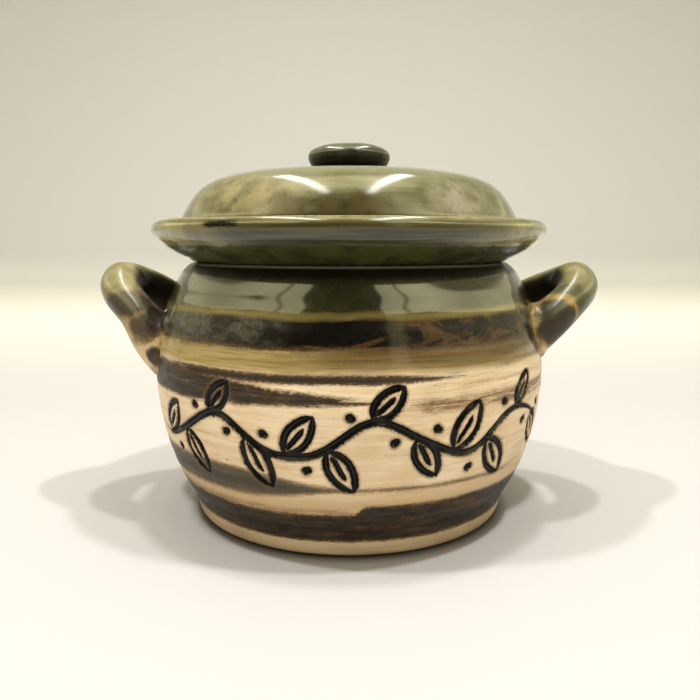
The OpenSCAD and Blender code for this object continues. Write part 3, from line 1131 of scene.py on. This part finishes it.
# Low grey line, thick on the left and thin on the right
b.paint(SMOKE_GREY, SMOKE_EDGE, 0.95, height=b.ramp(angle, -60.0, 5.0, 21.4, 20.8),
        width=b.ramp(angle, -32.0, 2.0, 4.6, 1.3), start=-118.0, end=62.0, fade=14.0,
        wander=0.3, ragged=0.32, dry=0.15, smoke=0.2, seed=2.0)
b.paint(SMOKE_CORE, SMOKE_GREY, 0.8, height=21.2, width=b.ramp(angle, -30.0, 0.0, 2.0, 0.3),
        start=-74.0, end=-6.0, fade=14.0, wander=0.3, ragged=0.32, dry=0.2, smoke=0.2, seed=14.0)
# Dry streaks over the belly
b.paint(DRY_RUST, BURNT_EDGE, 0.9, height=30.0, width=1.2, start=2.0, end=62.0,
        wander=0.4, ragged=0.5, dry=0.75, smoke=0.35, seed=3.0)
b.paint(DRY_BROWN, DRY_BROWN_EDGE, 0.9, height=41.8, width=2.8, start=6.0, end=96.0,
        wander=0.3, ragged=0.6, dry=0.72, smoke=0.4, seed=4.0)
b.paint(DRY_TAN, DRY_TAN_EDGE, 0.75, height=46.2, width=1.3, start=10.0, end=76.0,
        wander=0.3, ragged=0.7, dry=0.9, smoke=0.4, seed=12.0)
# Broad stroke that runs out to the right
b.paint(black, UMBER, 0.98, height=b.ramp(angle, -50.0, 4.0, 45.0, 43.2, False),
        width=b.ramp(angle, -50.0, 4.0, 5.0, 1.5, False), start=-88.0, end=9.0, fade=9.0,
        wander=0.2, ragged=0.42, dry=0.34, smoke=0.36, seed=5.0)
# Thin lines along the top of the belly
b.paint(OXIDE, UMBER, 0.97, height=48.3, width=b.ramp(angle, 4.0, 28.0, 1.8, 1.0), start=-54.0, end=30.0,
        fade=8.0, wander=0.2, ragged=0.2, dry=0.15, smoke=0.05, seed=6.0)
b.paint(UMBER, HONEY_BROWN, 0.9, height=53.6, width=1.1, start=-20.0, end=52.0,
        wander=0.3, ragged=0.55, dry=0.7, smoke=0.3, seed=7.0)
# Strokes on the back
b.paint(black, RUST, 0.95, height=b.ramp(angle, 104.0, 176.0, 43.4, 45.0, False), width=2.8,
        start=104.0, end=164.0, wander=0.4, ragged=0.55, dry=0.5, smoke=0.3, seed=9.0)
b.paint(OXIDE, UMBER, 0.95, height=48.6, width=0.9, start=-164.0, end=-96.0,
        wander=0.3, ragged=0.4, dry=0.35, smoke=0.15, seed=10.0)
b.paint(SMOKE_GREY, SMOKE_EDGE, 0.9, height=21.5, width=1.7, start=84.0, end=164.0,
        wander=0.5, ragged=0.5, dry=0.5, smoke=0.35, seed=11.0)
# Wide dark band round the shoulder, smoky on the left, broken on the right and flicked over by the brush
b.paint(SHOULDER_BROWN, SHOULDER_EDGE, 0.95, height=58.8, width=4.9,
        wander=0.3, ragged=0.7, dry=0.3, smoke=0.2, seed=13.0)
broken = b.scaled(on_the_right(7.0, 20.0), 0.81, 0.04)
b.paint(OXIDE, UMBER, 0.99, height=58.9, width=4.4,
        wander=0.4, ragged=0.85, dry=0.22, smoke=broken, seed=8.0)
FLICKS = ((-1.0, 11.0, 55.2, 58.4), (15.0, 25.0, 55.2, 58.8), (33.0, 41.0, 55.6, 59.4))
for first, last, low, high in FLICKS:
    b.paint(OXIDE, UMBER, 0.98, height=b.ramp(angle, first, last, low, high, False), width=1.0,
            start=first, end=last, fade=2.5, wander=0.1, ragged=0.3, dry=0.1, smoke=0.0, seed=15.0)
haze = b.noise(b.vector("MULTIPLY", spot, (0.7, 0.7, 1.3)), 0.2, 6.0, 0.7, 0.25)
on_the_left = b.times(b.ramp(angle, -13.0, -22.0), b.ramp(angle, -172.0, -118.0))
smoky = b.times(b.ramp(b.away(height, 59.4), 4.6, 2.6), on_the_left, b.ramp(haze, 0.38, 0.60), 0.85)
b.coat(smoky, b.mix(b.ramp(grit, 0.4, 0.65), HAZE, PALE_HAZE))

# Green glaze over the neck, with a yellow edge where it thins
run = b.less(height, b.plus(b.times(cloud, 2.4), b.times(throwing, 1.6)))
b.coat(b.times(b.ramp(run, 59.4, 60.6), b.ramp(fine, 0.3, 0.6, 0.9, 0.6)), YELLOW_EDGE)
b.coat(b.ramp(run, 60.6, 62.2), b.mix(b.ramp(cloud, 0.3, 0.7), OLIVE, DEEP_OLIVE))
# Painted shade on the neck just under the lid
b.coat(b.ramp(height, 70.4, 71.6, 0.0, 0.9), UNDER_LID_SHADE_BLACK)

# Oxide run in beside the right handle
root_stain = b.near((50.0, -25.0, 57.0), stretch=(1.0, 1.0, 0.75), size=6.5, ragged=0.9)
b.coat(b.ramp(root_stain, 0.05, 0.4, 0.0, 0.95), OXIDE)

# Carved vine, filled with oxide
carved = b.plus(b.marked("carved"), b.swing(grit, 0.55))
groove = b.ramp(carved, 0.85, 1.15, 1.0, 0.0)
b.coat(b.ramp(carved, 1.05, 1.8, 0.55, 0.0), RUST)
b.coat(groove, GROOVE_BLACK)

# Inside, rim and foot
within = b.line_inside(cloud)
# Pale line on the rim's outer edge: a painted glint along the seam under the lid
b.coat(b.times(b.ramp(height, 73.2, 73.7), b.ramp(radius, 45.2, 45.8), 0.9), RIM_GLINT_GREY)
bare_foot = b.ramp(b.less(height, b.times(fine, 1.4)), 3.6, 4.2, 1.0, 0.0)
bare_rim = b.times(b.ramp(height, 73.4, 73.8), b.ramp(radius, 45.4, 44.6))
bare = b.most(bare_foot, bare_rim)
raw = b.mix(uneven, BARE, BARE_SHADE)
b.coat(bare, b.mix(b.ramp(grit, 0.5, 0.75, 0.0, 0.5), raw, BARE_SHADE))
# Painted shade along the bottom edge of the foot, where it meets the floor
b.coat(b.times(b.ramp(height, 1.2, 0.5), b.ramp(radius, 44.5, 45.2), 0.9), FOOT_SHADE_DARK)

# The neck and the inside are glassy, and the rest has a low sheen
glassy = b.times(b.ramp(b.scaled(cloud, 6.0, height), 49.0, 57.0), b.ramp(height, 70.8, 72.0, 1.0, 0.4))
glassy = b.most(glassy, within)
sheen = b.most(glassy, b.times(groove, 0.2), 0.1)
b.shade("Coat Weight", b.times(sheen, b.less(1.0, bare)))
b.shade("Roughness", b.scaled(glassy, -0.2, b.ramp(fine, 0.3, 0.7, 0.42, 0.56)))
b.wavy(0.6, 0.12, depth=0.4)
b.fire(pot)

# Lid colours
LID_OLIVE = (0.088, 0.080, 0.024)
SAGE = (0.155, 0.152, 0.078)
THREAD_OLIVE = (0.05, 0.044, 0.013)
CROWN_GREY = (0.195, 0.20, 0.125)
CLOUD_FLECK = (0.06, 0.05, 0.02)
SMOKY_TAN = (0.29, 0.262, 0.185)
POOLED_AMBER = (0.040, 0.028, 0.004)
POOLED_BROWN = (0.024, 0.019, 0.003)
FLANGE_REFLECTION_GREY = (0.062, 0.06, 0.026)
FLANGE_OLIVE = (0.022, 0.022, 0.007)
FLANGE_AMBER = (0.10, 0.074, 0.018)
FLANGE_SIDE_REFLECTION_TAN = (0.38, 0.335, 0.16)
UNDER_LIP_REFLECTION_OLIVE = (0.044, 0.048, 0.012)
UNDER_LIP_REFLECTION_DARK = (0.020, 0.023, 0.006)
LIP_TAN = (0.30, 0.225, 0.115)
PINHOLE = (0.5, 0.42, 0.25)
CLOUD_RADIUS = 47.0

# Lid: sage and olive glaze, paler on the crown
b = Glaze("lid_glaze", specular=0.1, gloss=0.13)
angle, height, radius = b.on_wheel()
spot = b.in_mm(b.place)
cloud = b.noise(spot, 0.045, 3.0, 0.6, 0.4)
fine = b.noise(spot, 0.35, 4.0, 0.6)
mottle = b.noise(spot, 0.13, 3.5, 0.55, 0.5)
flow = b.streak(b.place, 2.2, 0.5, 30.0)
thread = b.streak(b.place, 2.0, 1.3, 31.0)
b.colour = b.mix(b.ramp(b.scaled(cloud, 0.6, b.times(flow, 0.4)), 0.38, 0.62), SAGE, LID_OLIVE)
b.coat(b.ramp(thread, 0.54, 0.7, 0.0, 0.55), THREAD_OLIVE)
on_dome = b.ramp(radius, 50.4, 49.4)
crown = b.times(b.ramp(b.scaled(mottle, 4.0, height), 97.2, 100.4), on_dome)
b.coat(b.times(crown, b.ramp(mottle, 0.35, 0.65, 0.9, 0.6)), CROWN_GREY)

# Tan and smoky clouds in the glaze of the dome: degrees, height, size and colour
for degrees, up, size, tone in (
    (-27, 90.0, 14.0, (0.30, 0.258, 0.13)),
    (-46, 92.5, 13.0, (0.30, 0.25, 0.12)),
    (36, 90.8, 14.0, SMOKY_TAN),
    (140, 91.0, 15.0, (0.29, 0.245, 0.12)),
    (-130, 91.0, 14.0, SMOKY_TAN),
    (92, 92.0, 12.0, (0.25, 0.20, 0.085)),
):
    sideways, forwards = leaning(math.radians(degrees)) * CLOUD_RADIUS
    near = b.near((sideways, -forwards, up), stretch=(1.0, 1.0, 1.9), size=size, ragged=1.2)
    b.coat(b.times(b.ramp(near, -0.1, 0.6), b.ramp(mottle, 0.32, 0.66), on_dome, 0.9), tone)
    b.coat(b.times(b.ramp(near, 0.0, 0.5), b.ramp(fine, 0.5, 0.68), on_dome, 0.5), CLOUD_FLECK)

# Thick amber-brown glaze low on the front
low_dome = b.times(b.ramp(b.scaled(mottle, 5.0, height), 95.0, 91.8), on_dome)
low_front = b.times(low_dome, b.ramp(b.away(angle, -3.0), 36.0, 5.0), b.ramp(fine, 0.35, 0.6, 0.97, 0.85))
b.coat(low_front, b.mix(b.ramp(mottle, 0.4, 0.65), POOLED_AMBER, POOLED_BROWN))

# Flange: amber under the lip, a grey band, tan at the sides and dark olive below a ragged line. The grey
# band is partly glaze and partly a painted reflection of the floor, the tan at the sides is a painted
# reflection, and the dark olive is a painted reflection of the dark shoulder
lip_edge = b.plus(height, b.swing(fine, 1.0))
off_seat = b.ramp(radius, 44.0, 46.0)
flange = b.times(b.ramp(height, 84.8, 84.0), off_seat)
# Grey band: glaze streaks and a painted reflection of the floor
b.coat(b.times(flange, 0.95), b.mix(b.ramp(thread, 0.4, 0.58), FLANGE_REFLECTION_GREY, FLANGE_OLIVE))
amber_line = b.times(flange, b.ramp(lip_edge, 81.4, 83.0), b.ramp(thread, 0.3, 0.6, 1.0, 0.35))
b.coat(b.times(amber_line, 0.85), FLANGE_AMBER)
# Tan at the left and right of the flange: a painted reflection
sides = b.times(flange, b.ramp(b.away(b.math("ABSOLUTE", angle), 90.0), 66.0, 34.0))
b.coat(b.times(sides, b.ramp(mottle, 0.35, 0.6, 0.9, 0.5)), FLANGE_SIDE_REFLECTION_TAN)
# Dark olive below the line: a painted reflection of the dark shoulder
under_lip = b.times(b.ramp(b.plus(lip_edge, b.times(flow, 0.8)), 79.4, 79.0), off_seat)
b.coat(b.times(under_lip, 0.95), b.mix(b.ramp(mottle, 0.4, 0.62), UNDER_LIP_REFLECTION_OLIVE, UNDER_LIP_REFLECTION_DARK))

# The lip, where the glaze runs thin and breaks to tan, with three scorched marks
on_lip = b.times(b.ramp(lip_edge, 84.9, 85.7), b.ramp(radius, 52.8, 53.8))
b.coat(b.times(on_lip, b.ramp(flow, 0.35, 0.6, 0.9, 0.45)), LIP_TAN)
scorched = b.most(*(
    b.group(brush, place=b.place, height=84.0, width=1.4, start=first, end=last, fade=4.0,
            wander=0.3, ragged=0.4, dry=0.3, smoke=0.2, seed=seed)["Load"]
    for first, last, seed in ((-40.0, -24.0, 40.0), (112.0, 126.0, 43.0), (-158.0, -142.0, 44.0))
))
scorched = b.times(b.ramp(scorched, 0.06, 0.4), b.ramp(radius, 54.5, 55.5))
b.coat(scorched, OXIDE)
b.speckle(PINHOLE, spacing=7.0, size=0.06, share=0.3)
b.speckle(UMBER, spacing=6.0, size=0.07, share=0.4)

# Underside and bare seat
b.line_inside(cloud)
bare_seat = b.times(b.ramp(height, 74.5, 74.2), b.ramp(radius, 44.8, 44.0))
b.coat(bare_seat, BARE)
shaded = b.times(under_lip, b.ramp(b.math("ABSOLUTE", angle), 66.0, 52.0), 0.85)
dull = b.most(scorched, bare_seat, b.times(low_front, 0.95), shaded)
b.shade("Coat Weight", b.less(1.0, dull))
b.shade("Roughness", b.ramp(fine, 0.3, 0.7, 0.25, 0.4))
b.wavy(0.8, 0.07, depth=0.4)
b.fire(lid)

# Handle colours
HANDLE_SAGE = (0.25, 0.215, 0.11)
HANDLE_OLIVE = (0.14, 0.128, 0.055)
HANDLE_MOTTLE = (0.09, 0.078, 0.03)
HANDLE_TAN = (0.54, 0.395, 0.20)
HANDLE_BROWN = (0.43, 0.29, 0.13)
ROOT_CREAM = (0.77, 0.59, 0.335)
# Painted shade inside the loop
LOOP_SHADE_BLACK = (0.006, 0.005, 0.003)

# Handles: sage above and tan towards the roots
b = Glaze("handle_glaze", specular=0.1, gloss=0.22)
_, height, radius = b.on_wheel()
spot = b.in_mm(b.place)
across, along, above = b.parts(spot)
cloud = b.noise(spot, 0.08, 3.0, 0.6, 0.5)
fine = b.noise(spot, 0.4, 3.0, 0.6)
mottle = b.noise(spot, 0.2, 6.0, 0.7, 0.8)
b.colour = b.mix(b.ramp(cloud, 0.36, 0.64), HANDLE_SAGE, HANDLE_OLIVE)
b.coat(b.ramp(mottle, 0.52, 0.68, 0.0, 0.6), HANDLE_MOTTLE)
tan = b.ramp(b.plus(height, b.swing(mottle, 3.0)), 62.0, 54.0)
b.coat(b.times(tan, 0.9), b.mix(b.ramp(fine, 0.35, 0.65), HANDLE_TAN, HANDLE_BROWN))
b.coat(b.ramp(height, 53.0, 49.5, 0.0, 0.8), ROOT_CREAM)

# Each patch of oxide: where it lies, how it is stretched, its size, its edge and its body
for centre, stretch, size, edge, body in (
    ((-57.0, -20.5, 58.8), (1.25, 1.0, 0.85), 6.4, (0.20, 0.14, 0.07), (0.07, 0.052, 0.034)),
    ((-63.5, -16.5, 62.4), (0.55, 0.6, 1.3), 5.6, (0.17, 0.122, 0.058), (0.034, 0.025, 0.016)),
    ((-54.0, -19.0, 58.0), (1.3, 1.0, 0.55), 4.8, (0.07, 0.048, 0.03), (0.018, 0.013, 0.010)),
    ((-53.8, -23.4, 48.4), (1.0, 1.0, 0.95), 3.0, (0.16, 0.11, 0.06), (0.016, 0.014, 0.011)),
    ((62.0, -18.5, 64.0), (0.8, 0.8, 1.0), 6.5, (0.11, 0.105, 0.045), (0.05, 0.052, 0.02)),
    ((57.6, -21.4, 58.2), (0.95, 0.9, 1.0), 8.2, (0.34, 0.22, 0.06), (0.016, 0.016, 0.014)),
    ((-61.0, 17.5, 62.0), (1.0, 1.0, 0.9), 8.5, (0.28, 0.19, 0.08), (0.03, 0.024, 0.016)),
    ((59.0, 20.0, 60.0), (1.0, 1.0, 0.9), 8.5, (0.30, 0.20, 0.07), (0.018, 0.017, 0.014)),
):
    near = b.plus(b.near(centre, stretch=stretch, size=size, ragged=0.7), b.swing(fine, 0.15))
    smoked_body = b.mix(b.ramp(mottle, 0.45, 0.7, 0.0, 0.6), body, SMOKE_GREY)
    b.coat(b.ramp(near, -0.1, 0.14, 0.0, 0.9), edge)
    b.coat(b.ramp(near, 0.06, 0.38, 0.0, 0.94), smoked_body)

# Painted shade on the inner side of the loop, which is an ellipse seen along its tilted axis
LOOP_ROOT = (51.0, 60.5)
LOOP_REACH = 18.9
LOOP_TILT = (0.94, 0.34)
LOOP_HALF_SPAN = 17.0
upwards = b.times(b.less(above, LOOP_ROOT[1]), LOOP_TILT[1] / LOOP_REACH)
outwards = b.scaled(b.less(b.math("ABSOLUTE", across), LOOP_ROOT[0]), LOOP_TILT[0] / LOOP_REACH, upwards)
sideways = b.math("DIVIDE", along, LOOP_HALF_SPAN)
ring = b.plus(b.times(outwards, outwards), b.times(sideways, sideways))
b.coat(b.ramp(b.scaled(mottle, 0.3, ring), 1.05, 0.75, 0.0, 0.97), LOOP_SHADE_BLACK)

# Oxide pooled in the crease at the wall
crease = b.ramp(b.less(radius, b.ramp(height, 44.0, 68.0, 58.4, 51.2)), 1.6, 0.2)
b.coat(b.times(crease, b.ramp(fine, 0.3, 0.6, 0.9, 0.4)), UMBER)
b.shade("Coat Weight", b.times(b.ramp(ring, 0.85, 1.15), b.ramp(height, 54.0, 66.0, 0.35, 0.9)))
b.shade("Roughness", b.ramp(cloud, 0.3, 0.7, 0.4, 0.55))
b.wavy(0.5, 0.1, depth=0.5)
b.fire(left_handle, right_handle)

# Knob colours
KNOB_BLACK = (0.008, 0.009, 0.005)
KNOB_OLIVE = (0.022, 0.021, 0.010)
KNOB_GREY = (0.07, 0.074, 0.05)
KNOB_PALE = (0.12, 0.125, 0.09)
KNOB_CREASE = (0.002, 0.002, 0.0015)

# Knob: near-black glaze, greyer where it is thin on top
b = Glaze("knob_glaze", specular=0.1, gloss=0.16)
_, height, _ = b.on_wheel()
cloud = b.noise(b.in_mm(b.place), 0.16, 3.0, 0.6)
b.colour = b.mix(b.ramp(cloud, 0.35, 0.65), KNOB_BLACK, KNOB_OLIVE)
thin_top = b.mix(b.ramp(cloud, 0.4, 0.6), KNOB_GREY, KNOB_PALE)
b.coat(b.ramp(b.scaled(cloud, 1.2, height), 103.6, 109.0), thin_top)
b.coat(b.ramp(height, 103.4, 102.0), KNOB_CREASE)
b.shade("Coat Weight", b.ramp(height, 103.2, 105.6, 0.1, 1.0))
b.shade("Roughness", b.ramp(cloud, 0.3, 0.7, 0.25, 0.4))
b.wavy(0.5, 0.1, depth=0.4)
b.fire(knob)

# Collar: bare clay
b = Glaze("bare_clay")
cloud = b.noise(b.in_mm(b.place), 0.1, 3.0, 0.6)
b.colour = b.mix(b.ramp(cloud, 0.35, 0.65), BARE, BARE_SHADE)
b.speckle(UMBER, spacing=4.0, size=0.1, share=0.35)
b.shade("Roughness", b.ramp(cloud, 0.3, 0.7, 0.7, 0.85))
b.wavy(0.3, 0.5, depth=0.3)
b.fire(collar)


# Studio

SWEEP_FRONT = -1800
SWEEP_BACK = 1200
SWEEP_TOP = 570
SWEEP_MIDDLE = 300
SWEEP_CURVE = 60
SWEEP_HALF_WIDTH = 2000
FLOOR_TONE = (0.46, 0.46, 0.485)
WALL_TONE = (0.82, 0.825, 0.83)
CONTACT_SHADOW_TONE = (0.05, 0.035, 0.02)


def studio_sweep():
    """Pale floor that curves up into a plain backdrop."""
    # The floor has an end of its own where the curve starts, so that it shades flat
    bend = SWEEP_BACK - SWEEP_CURVE
    line = np.vstack([
        [(SWEEP_FRONT, 0), (bend, 0)],
        round_edge((bend, SWEEP_CURVE), SWEEP_CURVE, 270),
        [(SWEEP_BACK, SWEEP_MIDDLE), (SWEEP_BACK, SWEEP_TOP)],
    ])
    places = [(x, y, z) for y, z in line for x in (-SWEEP_HALF_WIDTH, SWEEP_HALF_WIDTH)]
    faces = [[2 * i, 2 * i + 1, 2 * i + 3, 2 * i + 2] for i in range(len(line) - 1)]
    sweep = piece_from("studio_sweep", np.array(places, float), faces)
    paint = Glaze("pale_floor", specular=0.3)
    paint.shade("Roughness", 0.55)
    paint.colour = paint.mix(paint.ramp(paint.parts(paint.place)[1], 0.1, 0.62), FLOOR_TONE, WALL_TONE)
    # Painted contact shadow: the floor is darkest where the foot stands on it
    out = paint.on_wheel()[2]
    paint.coat(paint.ramp(out, FOOT_RADIUS - 0.5, FOOT_RADIUS + 5.5, 0.85, 0.0), CONTACT_SHADOW_TONE)
    paint.fire(sweep)


studio_sweep()

# Lamps, in metres and watts
LAMP_HEIGHT = 0.9
LAMP_COLOUR = (1.0, 0.965, 0.9)
TUBES_SIZE = (0.07, 0.93)
TUBES_POWER = 3.4
LAMP_SIZE = (0.035, 0.05)
FILL_PLACE = (0.0, -1.1, 0.32)
FILL_TARGET = (0.0, 0.0, 0.05)
FILL_SIZE = (1.2, 0.4)
FILL_POWER = 3.2


def softbox(name, place, target, size, power, spin=0.0):
    light = bpy.data.lights.new(name, "AREA")
    light.shape = "RECTANGLE"
    light.size, light.size_y = size
    light.energy = power
    light.color = LAMP_COLOUR
    lamp = bpy.data.objects.new(name, light)
    lamp.location = place
    aim = Vector(target) - Vector(place)
    lamp.rotation_euler = aim.to_track_quat("-Z", "Y").to_euler()
    lamp.rotation_euler.z += math.radians(spin)
    bpy.context.scene.collection.objects.link(lamp)
    return lamp


# Two long rows of tubes overhead, which the dome mirrors
for side, x, y, spin in (("left", -0.235, 0.14, 8.0), ("right", 0.198, 0.128, -5.1)):
    tubes = softbox(side + "_tubes", (x, y, LAMP_HEIGHT), (x, y, 0.0), TUBES_SIZE, TUBES_POWER, spin)
    tubes.visible_diffuse = False
# Three compact lamps, which throw the shadows
LAMPS = (("left", -0.33, -0.13, 5.0), ("right", 0.26, -0.12, 5.0), ("top", 0.02, -0.02, 3.6))
for side, x, y, power in LAMPS:
    lamp = softbox(side + "_lamp", (x, y, LAMP_HEIGHT), (x, y, 0.0), LAMP_SIZE, power)
    lamp.visible_glossy = False
front_fill = softbox("front_fill", FILL_PLACE, FILL_TARGET, FILL_SIZE, FILL_POWER)
front_fill.visible_glossy = False

# Panels at the sides for the glaze to mirror: a bright one with a bar on each side of a dim gap
GAP_FACES = -5.0
PANEL_BAR = 46.0
SOFT_TINT = (1.0, 0.9, 0.62)
MIRRORED_TINT = (1.0, 0.93, 0.55)
BACKDROP_TINT = (1.0, 0.94, 0.75)
BACKDROP_GLOW = 0.7
world = bpy.data.worlds.new("studio_light")
bpy.context.scene.world = world
world.use_nodes = True
b = Bench(world.node_tree)
way = b.add("ShaderNodeTexCoord").outputs["Generated"]
_, along, up = b.parts(way)
facing_way = b.group(wheel, place=way)["Angle"]
beside = b.away(facing_way, GAP_FACES)
over_foot = b.less(up, b.ramp(beside, 60.0, 136.0, 0.585, 0.15, False))
under_top = b.ramp(b.less(over_foot, b.ramp(beside, 60.0, 95.0, 0.34, 0.22)), 0.0, -0.06)
panels = b.times(b.ramp(beside, 27.0, 30.0), b.ramp(beside, 165.0, 145.0), b.ramp(over_foot, -0.012, 0.03),
                 under_top, b.ramp(beside, 60.0, 95.0, 3.4, 1.7))
bars = b.ramp(b.away(beside, PANEL_BAR), 1.0, 2.6, 0.35, 1.0)
dim_at_back = b.ramp(beside, 100.0, 135.0, 1.0, 0.4)
bright_on_right = b.ramp(facing_way, 20.0, 60.0, 1.0, 1.3)
panels = b.times(panels, bars, dim_at_back, bright_on_right)
stripe = b.times(b.ramp(facing_way, 21.0, 26.0), b.ramp(facing_way, 37.0, 32.0), b.ramp(up, -0.12, 0.0),
                 b.ramp(up, 0.85, 0.7), 0.9)
ceiling = b.times(b.ramp(up, 0.86, 0.95), b.ramp(along, -0.3, -0.1), 2.6)
mirrored = b.most(b.plus(panels, b.ramp(beside, 25.0, 70.0, 0.06, 0.45)), stripe, ceiling)

# Soft light from above for the matt surfaces, and the backdrop's tone where the camera sees past its edge
soft = b.ramp(up, 0.45, 0.9, 0.1, 1.4)
paths = b.add("ShaderNodeLightPath").outputs
glossy, seen = paths["Is Glossy Ray"], paths["Is Camera Ray"]
matt = b.less(b.less(1.0, glossy), seen)
glow = b.plus(b.times(glossy, mirrored), b.times(matt, soft))
glow = b.scaled(seen, BACKDROP_GLOW, glow)
tint = b.mix(glossy, SOFT_TINT, MIRRORED_TINT)
tint = b.mix(seen, tint, BACKDROP_TINT)
sky = b.add("ShaderNodeBackground", {"Color": tint, "Strength": glow})
b.add("ShaderNodeOutputWorld", {0: sky.outputs[0]})

# Camera at the photograph's viewing angle
CAMERA_PLACE = (0.000276, -0.2145, 0.07966)
CAMERA_TILT = 8.75
SENSOR = 36.0
LENS = 36.0
NEAREST_SEEN = 0.01
camera_data = bpy.data.cameras.new("camera")
camera_data.sensor_width = SENSOR
camera_data.lens = LENS
camera_data.clip_start = NEAREST_SEEN
camera = bpy.data.objects.new("camera", camera_data)
camera.location = CAMERA_PLACE
camera.rotation_euler = (math.radians(90 - CAMERA_TILT), 0, 0)
bpy.context.scene.collection.objects.link(camera)
bpy.context.scene.camera = camera
bpy.context.scene.view_settings.view_transform = "Standard"
